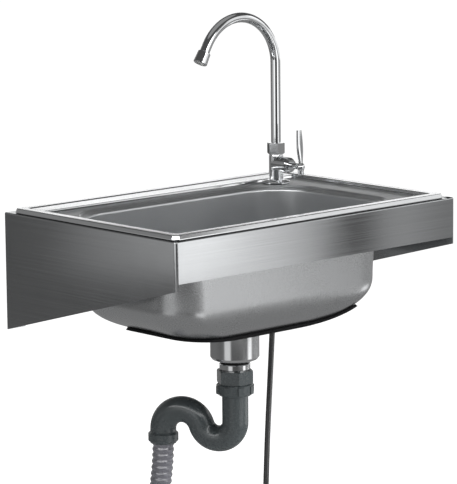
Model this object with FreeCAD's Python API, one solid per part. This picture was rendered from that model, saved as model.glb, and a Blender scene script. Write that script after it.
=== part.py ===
import FreeCAD, Part
import math
import os
from FreeCAD import Vector

# A wall-mounted hand sink: a pressed basin on a folded bracket, a swivel tap, and a waste with trap and hose.
# Millimetres. X runs along the wall, the wall is the plane y = 0, the user stands at -Y, +Z is up.
# The origin is on the wall, at the middle of the bracket's top.

UP = Vector(0, 0, 1)
DOWN = Vector(0, 0, -1)
FRONT = Vector(0, -1, 0)

# Bracket
REAR_HEIGHT = 178.0
FRONT_HEIGHT = 71.0
APRON_HEIGHT = 61.0
BRACKET_SHEET = 1.2
CORNER_BEND = 5.0
TOP_BEND = 2.0
TOP_FLANGE = 24.0
REAR_FLANGE = 34.0
CORNER_RELIEF = 12.0
WALL_HOLE = 9.0
WALL_HOLE_INSET = 18.0
WALL_HOLE_DROP = 35.0
WALL_HOLE_RISE = 28.0
RAIL_DROP = 50.0

# Basin rim and deck
RIM_WIDTH = 550.0
RIM_DEPTH = 365.0
RIM_CORNER = 10.0
PAN_CORNER = 5.0
RIM_BAND = 17.0
RIM_LEFT_GAP = 4.0
RIM_RIGHT_GAP = 16.0
RIM_REAR_GAP = 14.0
RIM_FRONT_GAP = 5.0
SEAL_THICKNESS = 1.0
SEAL_WIDTH = 8.0
SEAL_INSET = 1.0
SINK_SHEET = 0.8
DECK_OVER_SEAL = 0.2
DECK_DROP = 5.5
LEDGE_GAP = 3.6
LEDGE_RISE = 1.2

# Bowl, placed from the rim's edges to the bead round it
BOWL_FROM_LEFT = 27.0
BOWL_FROM_RIGHT = 66.0
BOWL_FROM_REAR = 68.0
BOWL_FROM_FRONT = 29.0
REAR_CORNER = 85.0
FRONT_CORNER = 55.0
REAR_FOOT_CORNER = 50.0
FRONT_FOOT_CORNER = 56.0
BEAD_RUN = 2.0
BEAD_DROP = 3.0
BEAD_BAND = 7.0
LIP_RADIUS = 5.0
LIP_STEPS = 4
WALL_DRAFT = 1.0
BOWL_DEPTH = 181.0
FOOT_RISE = 64.0
FOOT_FULLNESS = 2.27
FOOT_STEPS = 12
DISH_EDGE = 2.5
PAD_STEPS = 9
PAD_LEFT = 180.0
PAD_RIGHT = 154.0
PAD_DEPTH = 88.0
PAD_FLARE = 18.0
PAD_FLARE_RUN = 76.0
PAD_THICKNESS = 5.0
PAD_BOND = 0.3
PAD_HOLE_MARGIN = 3.0
SUMP_PLAY = 2.0
SUMP_DEPTH = 2.5

# Strainer in the bowl's floor
DRAIN_OFFSET = 5.5
DRAIN_PLAY = 0.5
CUP_RADIUS = 37.5
CUP_WALL = 1.0
CUP_FLOOR = 1.2
CUP_DEPTH = 52.5
CUP_FOOT_MARGIN = 1.0
CUP_SLOPE = 3.0
CUP_EDGE = 3.0
CUP_EDGE_RISE = 4.0
STRAINER_FLANGE_LAP = 6.0
STRAINER_FLANGE = 1.2
FLANGE_GASKET = 1.0
FLANGE_GASKET_INSET = 0.5
UNDER_GASKET = 2.0
LOCKNUT_WIDTH = 6.5
LOCKNUT_HEIGHT = 6.5
LOCKNUT_NOTCHES = 6
THREAD_PLAY = 0.15
BASKET_PLAY = 2.5
BASKET_SHEET = 0.8
BASKET_RIM = 4.0
BASKET_HOLE = 5.0
BASKET_HOLES = 14
BASKET_ROWS = 3
REST_GAP = 0.3
STOPPER_THICKNESS = 4.0
STOPPER_LAP = 3.0
KNOB_RADIUS = 8.0
KNOB_HEIGHT = 9.0
KNOB_EDGE = 2.5
KNOB_STEM = 3.0
KNOB_RISE = 38.0

# Outlet neck, adapter and slip nut
NECK_RADIUS = 20.5
NECK_WALL = 2.5
NECK_PLAY = 0.1
NECK_FLANGE = 2.0
NECK_FLANGE_LAP = 5.5
NECK_LENGTH = 27.0
NECK_WASHER = 4.0
NECK_WASHER_WIDTH = 2.0
NECK_NUT = 9.0
NECK_NUT_WALL = 3.0
NECK_NUT_EDGE = 1.0
NECK_SHOWN = 1.5
ADAPTER_WALL = 4.35
ADAPTER_HEX = 20.0
ADAPTER_STUB_WALL = 4.2
ADAPTER_STUB = 12.5
ADAPTER_LAND = 3.0
NECK_SEAL = 1.8
NUT_WALL = 4.4
NUT_EDGE = 1.5
NUT_LUGS = 8
NUT_LUG_RISE = 1.6
NUT_LUG_WIDTH = 9.0
NUT_LIP = 3.3
CONE_SEAL = 3.0
NUT_GAP = 0.6

# Trap and hose
PIPE_RADIUS = 20.0
PIPE_WALL = 2.5
PIPE_PLAY = 0.4
PIPE_TOP_GAP = 4.7
TRAP_LEG = 60.0
DIP_BEND = 28.0
CREST_BEND = 32.0
TRAP_TURN = 160.0
TRAP_LINK = 2.5
TRAP_TAIL = 22.0
TRAP_HEADING = 118.0
SOCKET_WALL = 4.9
SOCKET_LENGTH = 18.0
SOCKET_EDGE = 4.0
SOCKET_DEPTH = 14.0
HOSE_BORE = 13.2
HOSE_WALL = 2.4
RIB_HEIGHT = 1.2
RIB_PITCH = 9.5
RIB_STATIONS = ((0.10, "root"), (0.30, "crest"), (0.70, "crest"), (0.90, "root"))
HOSE_SEAL_PLAY = 0.2
HOSE_SEAL_WALL = 1.2
HOSE_SEAL_LENGTH = 12.0
CONNECTOR_COLLAR = 19.0
CONNECTOR_COLLAR_LENGTH = 10.0
CONNECTOR_BARB = 24.0
CONNECTOR_SPIGOT = 16.0
CONNECTOR_SPIGOT_LENGTH = 30.0
CONNECTOR_WALL = 2.2
CONNECTOR_EDGE = 1.5
CONNECTOR_PLAY = 0.2
# The hose's route, from the socket's mouth
HOSE_ROUTE = (Vector(0, 0, 13.5), Vector(0, 0, -30), Vector(-14, 3, -112),
              Vector(-24, 6, -210), Vector(-28, 9, -306), Vector(-27, 10, -380))

# Tap on the deck
TAP_BEARING = 47.65
TAP_GAP = 2.9
BASE_SEAL = 1.0
BASE_SEAL_INSET = 1.5
FLANGE_RADIUS = 22.4
FLANGE_EDGE = 1.8
FLANGE_BEVEL = 1.3
FLANGE_CROWN = 2.0
FLANGE_HEIGHT = 4.6
COLUMN_WALL = 0.85
COLUMN_HEIGHT = 40.0
BODY_EDGE = 1.5
SHANK_RADIUS = 10.2
SHANK_BORE = 6.0
SHANK_LENGTH = 47.0
SHANK_LAP = 11.0
SHANK_PLAY = 0.2
DECK_WASHER = 2.5
DECK_WASHER_RADIUS = 19.0
CLAMP_WASHER = 1.5
CLAMP_WASHER_RADIUS = 18.0
BACKNUT_FLATS = 30.0
BACKNUT_HEIGHT = 8.0
STUB_WALL = 1.2
STUB_HEIGHT = 13.0
WATERWAY = 3.0
WATERWAY_OFFSET = 5.5
WATERWAY_STEP = 4.5

# Spout
TUBE_RADIUS = 7.75
TUBE_WALL = 1.0
TUBE_FOOT_GAP = 1.5
TURN_PLAY = 0.06
SPOUT_RISE = 144.0
SPOUT_BEND = 77.0
SPOUT_TURN = 150.0
SPOUT_TAIL = 20.0
O_RING = 0.9
O_RING_SPACING = 4.5
O_RING_DROP = 4.0
SPOUT_RING = 1.8
SPOUT_RING_WIDTH = 2.0
COLLAR_WALL = 1.55
COLLAR_LIP = 3.2
COLLAR_LAP = 11.6
AERATOR_WALL = 2.25
AERATOR_FLARE = 1.0
AERATOR_LENGTH = 19.5
AERATOR_LAP = 9.0
AERATOR_EDGE = 1.0
AERATOR_LIP = 1.5
AERATOR_STEP = 1.45
AERATOR_HOLES = 6
AERATOR_HOLE = 1.8
AERATOR_HOLE_CIRCLE = 5.0

# Valve and lever, measured along the valve's axis from the column's axis
VALVE_DROP = 14.5
BOSS_WALL = 3.0
BOSS_REACH = 32.0
VALVE_BORE = 9.0
VALVE_FLOOR = 5.0
VALVE_SEAL = 1.5
VALVE_SEAL_HOLE = 4.0
CARTRIDGE_PLAY = 0.1
CARTRIDGE_LENGTH = 20.0
CARTRIDGE_WALL = 1.9
DISC_THICKNESS = 3.0
DISC_GAP = 0.2
DISC_PORT = 2.0
SPINDLE_FOOT = 4.0
SPINDLE_RADIUS = 4.75
SPINDLE_END = 3.0
BONNET_LAP = 1.6
BONNET_HEAD = 4.0
BONNET_EDGE = 2.0
LEVER_REACH = 56.0
HUB_RADIUS = 6.7
HUB_BELOW = 12.5
HUB_BOSS = 4.8
HUB_EDGE = 1.0
HUB_GAP = 0.3
LEVER_SINK = 1.8
LEVER_TOP = 57.5
LEVER_LEAN = 4.0
# Lever sections: share of the height above the hub, half width along X, half thickness along Y
LEVER_SECTIONS = ((0.0, 3.4, 2.6), (0.12, 4.4, 2.9), (0.3, 5.8, 3.0), (0.65, 6.6, 2.8), (1.0, 5.2, 2.5))
GRUB_RADIUS = 2.4
GRUB_SOCKET = 2.4
GRUB_PLAY = 0.1

# Supply hose under the tap
SUPPLY_RADIUS = 4.6
SUPPLY_BORE = 3.0
SUPPLY_WASHER = 2.0
SUPPLY_WASHER_HOLE = 4.0
UNION_FLATS = 24.0
UNION_HEIGHT = 17.0
UNION_LAP = 9.0
TAIL_FLANGE = 2.0
TAIL_FLANGE_STEP = 0.6
TAIL_STEM = 18.0
TAIL_BORE = 1.8
TAIL_PLAY = 0.1
TAIL_NECK = 4.9
SLEEVE_WALL = 1.5
SLEEVE_LENGTH = 20.0
UNION_PLAY = 0.5
# The supply hose's route, from its upper end
SUPPLY_ROUTE = (Vector(0, 0, 0), Vector(0, 0, -48), Vector(-7, 1, -130), Vector(-15, 0, -235),
                Vector(-22, 1, -340), Vector(-28, 0, -440), Vector(-30, 2, -520), Vector(-30, 3, -566))

# Chamfer on the corners of every hexagon nut, how far a cutter runs past a face, how near counts as in line,
# and the share of a hose's run that the arc at its end takes up
HEX_CHAMFER = 1.5
CUT = 1.0
NEAR = 0.01
ARC_SHARE = 0.45

# Places worked out from the sizes
BRACKET_WIDTH = RIM_LEFT_GAP + RIM_WIDTH + RIM_RIGHT_GAP
BRACKET_DEPTH = RIM_REAR_GAP + RIM_DEPTH + RIM_FRONT_GAP
HALF_WIDTH = BRACKET_WIDTH / 2
RIM_X0 = -HALF_WIDTH + RIM_LEFT_GAP
RIM_X1 = RIM_X0 + RIM_WIDTH
RIM_Y0 = -RIM_REAR_GAP
RIM_Y1 = RIM_Y0 - RIM_DEPTH
RIM_Z0 = SEAL_THICKNESS
DECK_Z = RIM_Z0 + DECK_OVER_SEAL + SINK_SHEET
RIM_Z1 = DECK_Z + DECK_DROP
BEAD_X0 = RIM_X0 + BOWL_FROM_LEFT
BEAD_X1 = RIM_X1 - BOWL_FROM_RIGHT
BEAD_Y0 = RIM_Y0 - BOWL_FROM_REAR
BEAD_Y1 = RIM_Y1 + BOWL_FROM_FRONT
DISH_Z = DECK_Z - BOWL_DEPTH
SUMP_Z = DISH_Z - SUMP_DEPTH
STRAINER_FLANGE_RADIUS = CUP_RADIUS + STRAINER_FLANGE_LAP
SUMP_RADIUS = STRAINER_FLANGE_RADIUS + SUMP_PLAY
WALL_INSET = BEAD_RUN + BEAD_BAND + LIP_RADIUS + WALL_DRAFT
DISH_RADIUS = SUMP_RADIUS + DISH_EDGE
FOOT_REACH = (BEAD_Y0 - BEAD_Y1) / 2 - WALL_INSET - DISH_RADIUS
DRAIN = Vector((BEAD_X0 + BEAD_X1) / 2 + DRAIN_OFFSET, (BEAD_Y0 + BEAD_Y1) / 2, 0)
# The tap stands off the bowl's right rear corner, on a bearing from the middle of the corner's arc
TAP_ARM = REAR_CORNER + DECK_WASHER_RADIUS + TAP_GAP
TAP_TURN = math.radians(TAP_BEARING)
TAP = Vector(BEAD_X1 - REAR_CORNER + TAP_ARM * math.cos(TAP_TURN),
             BEAD_Y0 - REAR_CORNER + TAP_ARM * math.sin(TAP_TURN), 0)
LEDGE_Y = TAP.y + FLANGE_RADIUS + LEDGE_GAP


def box(x0, x1, y0, y1, z0, z1):
    return Part.makeBox(x1 - x0, y1 - y0, z1 - z0, Vector(x0, y0, z0))


def at(point, z):
    return Vector(point.x, point.y, z)


def rod(radius, base, axis, length):
    return Part.makeCylinder(radius, length, base, axis)


def ring(outer, inner, base, axis, length):
    return rod(outer, base, axis, length).cut(rod(inner, base - axis * CUT, axis, length + 2 * CUT))


def turned(profile, base, axis):
    """Solid turned about axis from a closed list of (radius, distance along the axis)."""
    wire = Part.makePolygon([Vector(r, 0, h) for r, h in profile + profile[:1]])
    solid = Part.Face(wire).revolve(Vector(), UP, 360)
    solid.Placement = FreeCAD.Placement(base, FreeCAD.Rotation(UP, axis))
    return solid


def hexagon(flats, base, axis, length):
    """Plain hexagonal bar, measured across its flats."""
    corner = flats / math.sqrt(3)
    turns = [math.radians(60 * k) for k in range(7)]
    points = [Vector(corner * math.cos(a), corner * math.sin(a), 0) for a in turns]
    solid = Part.Face(Part.makePolygon(points)).extrude(UP * length)
    solid.Placement = FreeCAD.Placement(base, FreeCAD.Rotation(UP, axis))
    return solid


def hex_bar(flats, base, axis, length, chamfer):
    """Hexagonal bar with the corners of both ends turned down to a cone."""
    corner = flats / math.sqrt(3)
    neck = corner - chamfer
    cone = [(0, 0), (neck, 0), (corner, chamfer), (corner, length - chamfer), (neck, length), (0, length)]
    return hexagon(flats, base, axis, length).common(turned(cone, base, axis))


def outline(x0, x1, y0, y1, rear_radius, front_radius, z):
    """Rectangle with rounded corners, y0 at the rear and y1 at the front."""
    corners = ((x1, y0, rear_radius), (x1, y1, front_radius), (x0, y1, front_radius), (x0, y0, rear_radius))
    edges = []
    ends = []
    for k, (x, y, r) in enumerate(corners):
        centre = Vector(x - r if x == x1 else x + r, y - r if y == y0 else y + r, z)
        turns = [math.radians(90 - 90 * k - a) for a in (0, 45, 90)]
        p, m, q = (centre + Vector(math.cos(a), math.sin(a), 0) * r for a in turns)
        edges.append(Part.Arc(p, m, q).toShape())
        ends.append((p, q))
    sides = [Part.makeLine(ends[k][1], ends[(k + 1) % 4][0]) for k in range(4)]
    return Part.Wire([edge for pair in zip(edges, sides) for edge in pair])


def rim_block(inset, z0, z1):
    """Solid inside the rim's outline, drawn in by inset."""
    radius = max(RIM_CORNER - inset, PAN_CORNER)
    wire = outline(RIM_X0 + inset, RIM_X1 - inset, RIM_Y0 - inset, RIM_Y1 + inset, radius, radius, z0)
    return Part.Face(wire).extrude(UP * (z1 - z0))


def swept(radius, path):
    """Solid rod along straight runs and arcs that meet in line."""
    solids = []
    for step in path:
        face = Part.Face(Part.Wire(Part.makeCircle(radius, step["start"], step["along"])))
        if "centre" in step:
            solids.append(face.revolve(step["centre"], step["axis"], step["angle"]))
        else:
            solids.append(face.extrude(step["along"] * step["length"]))
    return solids[0].multiFuse(solids[1:]).removeSplitter() if len(solids) > 1 else solids[0]


def run(start, along, length):
    return {"start": start, "along": along, "length": length}


def bend(start, along, toward, radius, angle):
    """Arc that starts in the direction along and turns toward a direction square to it."""
    return {"start": start, "along": along, "centre": start + toward * radius, "axis": along.cross(toward),
            "angle": angle, "length": radius * math.radians(angle)}


def place_on(step, distance):
    """Point and direction at a distance along one run or arc."""
    if "centre" not in step:
        return step["start"] + step["along"] * distance, step["along"]
    turn = FreeCAD.Rotation(step["axis"], step["angle"] * distance / step["length"])
    return step["centre"] + turn.multVec(step["start"] - step["centre"]), turn.multVec(step["along"])


def end_of(step):
    return place_on(step, step["length"])


def route(points, name):
    """Runs through the points, with each corner rounded as wide as its two runs allow."""
    path = []
    here = points[0]
    radii = []
    for before, corner, after in zip(points, points[1:], points[2:]):
        u = (corner - before).normalize()
        v = (after - corner).normalize()
        turn = math.acos(max(-1.0, min(1.0, u.dot(v))))
        tangent = ARC_SHARE * min((corner - before).Length, (after - corner).Length)
        radius = tangent / math.tan(turn / 2)
        radii.append(radius)
        start = corner - u * tangent
        path.append(run(here, u, (start - here).Length))
        path.append(bend(start, u, (v - u * math.cos(turn)).normalize(), radius, math.degrees(turn)))
        here = corner + v * tangent
    last = points[-1] - here
    path.append(run(here, Vector(last).normalize(), last.Length))
    print(name, "length", round(sum(step["length"] for step in path), 1), "radii", [round(r) for r in radii])
    return path


# Bracket


def bracket_shell():
    t = BRACKET_SHEET
    block = box(-HALF_WIDTH, HALF_WIDTH, -BRACKET_DEPTH, 0, -REAR_HEIGHT, 0)
    block = block.makeFillet(CORNER_BEND, upright_edges(block, -BRACKET_DEPTH))
    block = block.makeFillet(TOP_BEND, top_edges(block))
    hollow = box(-HALF_WIDTH + t, HALF_WIDTH - t, -BRACKET_DEPTH + t, CUT, -REAR_HEIGHT - CUT, CUT)
    hollow = hollow.makeFillet(CORNER_BEND - t, upright_edges(hollow, -BRACKET_DEPTH + t))
    shell = block.cut(hollow)
    slope = (REAR_HEIGHT - FRONT_HEIGHT) / BRACKET_DEPTH
    low = -REAR_HEIGHT - CUT
    corners = [(CUT, -REAR_HEIGHT - slope * CUT), (-BRACKET_DEPTH - CUT, -FRONT_HEIGHT + slope * CUT),
               (-BRACKET_DEPTH - CUT, low), (CUT, low)]
    wedge = Part.makePolygon([Vector(-HALF_WIDTH - CUT, y, z) for y, z in corners + corners[:1]])
    shell = shell.cut(Part.Face(wedge).extrude(Vector(BRACKET_WIDTH + 2 * CUT, 0, 0)))
    reach = HALF_WIDTH - CORNER_BEND
    shell = shell.cut(box(-reach, reach, -BRACKET_DEPTH - CUT, -BRACKET_DEPTH + t + CUT, low, -APRON_HEIGHT))
    top = block.common(box(-HALF_WIDTH, HALF_WIDTH, -BRACKET_DEPTH, 0, -t, 0))
    inner = HALF_WIDTH - TOP_FLANGE
    top = top.cut(box(-inner, inner, -BRACKET_DEPTH + TOP_FLANGE, CUT, -t - CUT, CUT))
    solids = [top]
    for side in (-1, 1):
        x0, x1 = sorted((side * (HALF_WIDTH - t), side * (HALF_WIDTH - t - CORNER_RELIEF)))
        relief = box(x0, x1, -BRACKET_DEPTH + t, -BRACKET_DEPTH + t + CORNER_RELIEF, -t - CUT, CUT)
        solids[0] = solids[0].cut(relief)
        x0, x1 = sorted((side * (HALF_WIDTH - t / 2), side * (HALF_WIDTH - REAR_FLANGE)))
        flange = box(x0, x1, -t, 0, -REAR_HEIGHT, 0)
        for z in (-WALL_HOLE_DROP, -REAR_HEIGHT + WALL_HOLE_RISE):
            hole = Vector(side * (HALF_WIDTH - WALL_HOLE_INSET), CUT, z)
            flange = flange.cut(rod(WALL_HOLE / 2, hole, FRONT, t + 2 * CUT))
        solids.append(flange)
    return shell.multiFuse(solids).removeSplitter()


def upright_edges(solid, y):
    """The solid's vertical edges in the plane at y."""
    upright = [e for e in solid.Edges if abs(e.tangentAt(e.FirstParameter).z) > 1 - NEAR]
    return [e for e in upright if all(abs(v.Y - y) < NEAR for v in e.Vertexes)]


def top_edges(solid):
    """The edges round the solid's top, without the one against the wall."""
    top = [e for e in solid.Edges if all(abs(v.Z) < NEAR for v in e.Vertexes)]
    return [e for e in top if any(v.Y < -NEAR for v in e.Vertexes)]


def rear_rail():
    """Angle between the side plates' flanges, against the wall, under the rim's rear edge."""
    t = BRACKET_SHEET
    back = HALF_WIDTH - REAR_FLANGE
    top = HALF_WIDTH - TOP_FLANGE
    rail = box(-back, back, -t, 0, -RAIL_DROP, 0)
    return rail.fuse(box(-top, top, -TOP_FLANGE, -t, -t, 0)).removeSplitter()


# Basin


def mix(first, last, share):
    return first + (last - first) * share


def bowl_stations():
    """The bowl's upper surface from the deck to the sump.

    Each station has its inset from the bead, its height, its rear and front corner radius,
    and its share of the way from the wall to the circle round the sump.
    """
    points = [(0, DECK_Z), (BEAD_RUN, DECK_Z - BEAD_DROP)]
    inset = BEAD_RUN + BEAD_BAND
    top = DECK_Z - BEAD_DROP
    for k in range(LIP_STEPS + 1):
        a = math.radians(90 * k / LIP_STEPS)
        points.append((inset + LIP_RADIUS * math.sin(a), top - LIP_RADIUS * (1 - math.cos(a))))
    stations = [(u, z, REAR_CORNER - u, FRONT_CORNER - u, 0) for u, z in points]
    power = 2 / FOOT_FULLNESS
    for k in range(FOOT_STEPS):
        a = math.radians(90 * k / FOOT_STEPS)
        share = 1 - math.cos(a) ** power
        z = DISH_Z + FOOT_RISE * (1 - math.sin(a) ** power)
        rear = mix(REAR_FOOT_CORNER, DISH_RADIUS, share)
        front = mix(FRONT_FOOT_CORNER, DISH_RADIUS, share)
        stations.append((WALL_INSET, z, rear, front, share))
    return stations


def offset_profile(points, distance):
    """The profile moved outwards and down by a distance, square to each stretch of it."""
    level = [(points[0][0] - CUT, points[0][1])] + points + [(points[-1][0] + CUT, points[-1][1])]
    normals = []
    for (u0, z0), (u1, z1) in zip(level, level[1:]):
        length = math.hypot(u1 - u0, z1 - z0)
        normals.append(((z1 - z0) / length, -(u1 - u0) / length))
    moved = []
    for (u, z), (a, b), (c, d) in zip(points, normals, normals[1:]):
        scale = distance / (1 + a * c + b * d)
        moved.append((u + (a + c) * scale, z + (b + d) * scale))
    return moved


def dish_wire(z):
    """Circle round the sump, in eight arcs that face the corners and sides of the bowl's outline."""
    def on_circle(degrees):
        angle = math.radians(degrees)
        return at(DRAIN, z) + Vector(math.cos(angle), math.sin(angle), 0) * DISH_RADIUS

    step = 360 / 8
    starts = [90 - step / 2 - step * k for k in range(8)]
    arcs = [Part.Arc(on_circle(a), on_circle(a - step / 2), on_circle(a - step)) for a in starts]
    return Part.Wire([arc.toShape() for arc in arcs])


def bowl_section(station, out, down):
    """The bowl's outline at a station, moved outwards and down."""
    inset, z, rear, front, share = station
    x0 = mix(BEAD_X0 + inset, DRAIN.x - DISH_RADIUS, share) - out
    x1 = mix(BEAD_X1 - inset, DRAIN.x + DISH_RADIUS, share) + out
    y0 = mix(BEAD_Y0 - inset, DRAIN.y + DISH_RADIUS, share) + out
    y1 = mix(BEAD_Y1 + inset, DRAIN.y - DISH_RADIUS, share) - out
    return outline(x0, x1, y0, y1, rear + out, front + out, z - down)


def bowl_loft(distance, first=0):
    """Solid inside the bowl's surface moved out by a distance, from a station down to the sump's circle."""
    stations = bowl_stations()
    profile = [(inset + FOOT_REACH * share, z) for inset, z, rear, front, share in stations]
    moved = offset_profile(profile, distance)
    sections = []
    for station, (u, z), (v, w) in list(zip(stations, profile, moved))[first:]:
        sections.append(bowl_section(station, u - v, z - w))
    return Part.makeLoft(sections + [dish_wire(DISH_Z - distance)], True, True)


def sink_basin():
    t = SINK_SHEET
    rim = rim_block(0, RIM_Z0, RIM_Z1).cut(rim_block(t, RIM_Z0 - CUT, RIM_Z1 - t))
    rim = rim.cut(rim_block(RIM_BAND - t, RIM_Z0 - CUT, RIM_Z1 + CUT))
    pan = rim_block(RIM_BAND - t, DECK_Z - t, RIM_Z1).cut(rim_block(RIM_BAND, DECK_Z, RIM_Z1 + CUT))
    behind = box(RIM_X0, RIM_X1, LEDGE_Y, RIM_Y0, DECK_Z - t - CUT, DECK_Z + LEDGE_RISE)
    under = box(RIM_X0, RIM_X1, LEDGE_Y + t, RIM_Y0, DECK_Z - t - CUT, DECK_Z + LEDGE_RISE - t)
    ledge = rim_block(RIM_BAND - t, DECK_Z - t, RIM_Z1).common(behind)
    pan = pan.fuse(ledge).cut(rim_block(RIM_BAND, DECK_Z - t - CUT, RIM_Z1).common(under))
    sump = rod(SUMP_RADIUS + t, at(DRAIN, SUMP_Z - t), UP, SUMP_DEPTH + t / 2)
    basin = rim.multiFuse([pan, bowl_loft(t), sump])
    basin = basin.cut(bowl_loft(0))
    basin = basin.cut(rod(SUMP_RADIUS, at(DRAIN, SUMP_Z), UP, SUMP_DEPTH + CUT))
    basin = basin.cut(rod(CUP_RADIUS + DRAIN_PLAY, at(DRAIN, SUMP_Z - t - CUT), UP, t + 2 * CUT))
    basin = basin.cut(rod(SHANK_RADIUS + DRAIN_PLAY, at(TAP, DECK_Z - t - CUT), UP, t + 2 * CUT))
    return basin.removeSplitter()


def rim_seal():
    """Strip between the rim's turned-down edge and the bracket's flanges."""
    strip = rim_block(SEAL_INSET, 0, SEAL_THICKNESS)
    return strip.cut(rim_block(SEAL_INSET + SEAL_WIDTH, -CUT, SEAL_THICKNESS + CUT))


def sound_pad():
    """Damping pad under the bowl, cut from sheet and flared at the right, with a hole for the sump."""
    near = SINK_SHEET + PAD_BOND
    far = near + PAD_THICKNESS
    pad = bowl_loft(far, -PAD_STEPS).cut(bowl_loft(near, -PAD_STEPS))
    x0, x1 = DRAIN.x - PAD_LEFT, DRAIN.x + PAD_RIGHT
    y0, y1 = DRAIN.y + PAD_DEPTH, DRAIN.y - PAD_DEPTH
    corners = [(x0, y0), (x1, y0), (x1, y1 - PAD_FLARE), (x1 - PAD_FLARE_RUN, y1), (x0, y1), (x0, y0)]
    base = DISH_Z - far - CUT
    sheet = Part.Face(Part.makePolygon([Vector(x, y, base) for x, y in corners]))
    pad = pad.common(sheet.extrude(UP * FOOT_RISE))
    return pad.cut(rod(SUMP_RADIUS + SINK_SHEET + PAD_HOLE_MARGIN, at(DRAIN, base), UP, FOOT_RISE))


# Strainer

FLANGE_Z = SUMP_Z + FLANGE_GASKET
CUP_Z = FLANGE_Z - CUP_DEPTH
CUP_INNER = CUP_RADIUS - CUP_WALL
NECK_TOP = CUP_Z + CUP_FLOOR + NECK_FLANGE
NECK_BORE = NECK_RADIUS - NECK_WALL
NECK_END = NECK_TOP - NECK_FLANGE - NECK_LENGTH
STOPPER_Z = NECK_TOP + REST_GAP
BASKET_Z = STOPPER_Z + STOPPER_THICKNESS
BASKET_TOP = FLANGE_Z + STRAINER_FLANGE + REST_GAP
BASKET_RADIUS = CUP_INNER - BASKET_PLAY
NECK_FLANGE_RADIUS = NECK_RADIUS + NECK_FLANGE_LAP
CUP_FOOT = NECK_FLANGE_RADIUS + CUP_FOOT_MARGIN
LOCKNUT_RADIUS = CUP_RADIUS + LOCKNUT_WIDTH


def strainer_body():
    """Deep cup with a flange at its top and a sloping foot."""
    r = CUP_RADIUS
    edge = CUP_SLOPE + CUP_EDGE_RISE
    top = CUP_DEPTH + STRAINER_FLANGE
    hole = NECK_RADIUS + NECK_PLAY
    profile = [(hole, 0), (CUP_FOOT, 0), (r - CUP_EDGE, CUP_SLOPE), (r, edge), (r, CUP_DEPTH),
               (STRAINER_FLANGE_RADIUS, CUP_DEPTH), (STRAINER_FLANGE_RADIUS, top), (CUP_INNER, top),
               (CUP_INNER, edge + CUP_FLOOR), (CUP_INNER - CUP_EDGE, CUP_SLOPE + CUP_FLOOR),
               (CUP_FOOT, CUP_FLOOR), (hole, CUP_FLOOR)]
    return turned(profile, at(DRAIN, CUP_Z), UP)


def flange_gasket():
    inset = FLANGE_GASKET_INSET
    return ring(STRAINER_FLANGE_RADIUS - inset, CUP_RADIUS + inset, at(DRAIN, SUMP_Z), UP, FLANGE_GASKET)


def under_gasket():
    return ring(LOCKNUT_RADIUS, CUP_RADIUS + THREAD_PLAY, at(DRAIN, SUMP_Z - SINK_SHEET), DOWN, UNDER_GASKET)


def strainer_locknut():
    base = at(DRAIN, SUMP_Z - SINK_SHEET - UNDER_GASKET)
    nut = ring(LOCKNUT_RADIUS, CUP_RADIUS + THREAD_PLAY, base, DOWN, LOCKNUT_HEIGHT)
    notch = LOCKNUT_RADIUS - CUP_RADIUS
    for k in range(LOCKNUT_NOTCHES):
        angle = 2 * math.pi * k / LOCKNUT_NOTCHES
        place = base + Vector(math.cos(angle), math.sin(angle), 0) * LOCKNUT_RADIUS
        nut = nut.cut(rod(notch / 2, place + UP * CUT, DOWN, LOCKNUT_HEIGHT + 2 * CUT))
    return nut


def outlet_neck():
    """Threaded tube that hangs from a flange inside the cup."""
    flange = NECK_FLANGE_RADIUS
    end = NECK_FLANGE + NECK_LENGTH
    profile = [(NECK_BORE, 0), (flange, 0), (flange, NECK_FLANGE), (NECK_RADIUS, NECK_FLANGE),
               (NECK_RADIUS, end), (NECK_BORE, end)]
    return turned(profile, at(DRAIN, NECK_TOP), DOWN)


def neck_washer():
    outer = NECK_RADIUS + NECK_WASHER_WIDTH
    return ring(outer, NECK_RADIUS + NECK_PLAY, at(DRAIN, CUP_Z), DOWN, NECK_WASHER)


def neck_nut():
    """Ring nut that draws the neck's flange down on the cup."""
    r, c, h = NECK_RADIUS + NECK_NUT_WALL, NECK_NUT_EDGE, NECK_NUT
    hole = NECK_RADIUS + THREAD_PLAY
    profile = [(hole, 0), (r - c, 0), (r, c), (r, h - c), (r - c, h), (hole, h)]
    return turned(profile, at(DRAIN, CUP_Z - NECK_WASHER), DOWN)


def strainer_basket():
    s = BASKET_SHEET
    r = BASKET_RADIUS
    depth = BASKET_TOP - BASKET_Z
    rim = CUP_INNER + BASKET_RIM
    profile = [(KNOB_STEM, 0), (r, 0), (r, depth), (rim, depth), (rim, depth + s), (r - s, depth + s),
               (r - s, s), (KNOB_STEM, s)]
    basket = turned(profile, at(DRAIN, BASKET_Z), UP)
    holes = []
    for row in range(BASKET_ROWS):
        z = BASKET_Z + depth * (row + 1) / (BASKET_ROWS + 1)
        for k in range(BASKET_HOLES):
            angle = 2 * math.pi * (k + row / 2) / BASKET_HOLES
            out = Vector(math.cos(angle), math.sin(angle), 0)
            holes.append(rod(BASKET_HOLE / 2, at(DRAIN, z) + out * (r - s - CUT), out, s + 2 * CUT))
    return basket.cut(Part.makeCompound(holes))


def basket_stopper():
    return ring(NECK_BORE + STOPPER_LAP, KNOB_STEM, at(DRAIN, STOPPER_Z), UP, STOPPER_THICKNESS)


def basket_knob():
    """Knob on a stem that runs through the basket's floor and the stopper."""
    stem = KNOB_STEM - TURN_PLAY
    rise = KNOB_RISE + STOPPER_THICKNESS
    top = rise + KNOB_HEIGHT
    r, c = KNOB_RADIUS, KNOB_EDGE
    profile = [(0, 0), (stem, 0), (stem, rise), (r - c, rise), (r, rise + c), (r, top - c), (r - c, top),
               (0, top)]
    return turned(profile, at(DRAIN, STOPPER_Z), UP)


# Adapter, slip nut, trap

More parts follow.
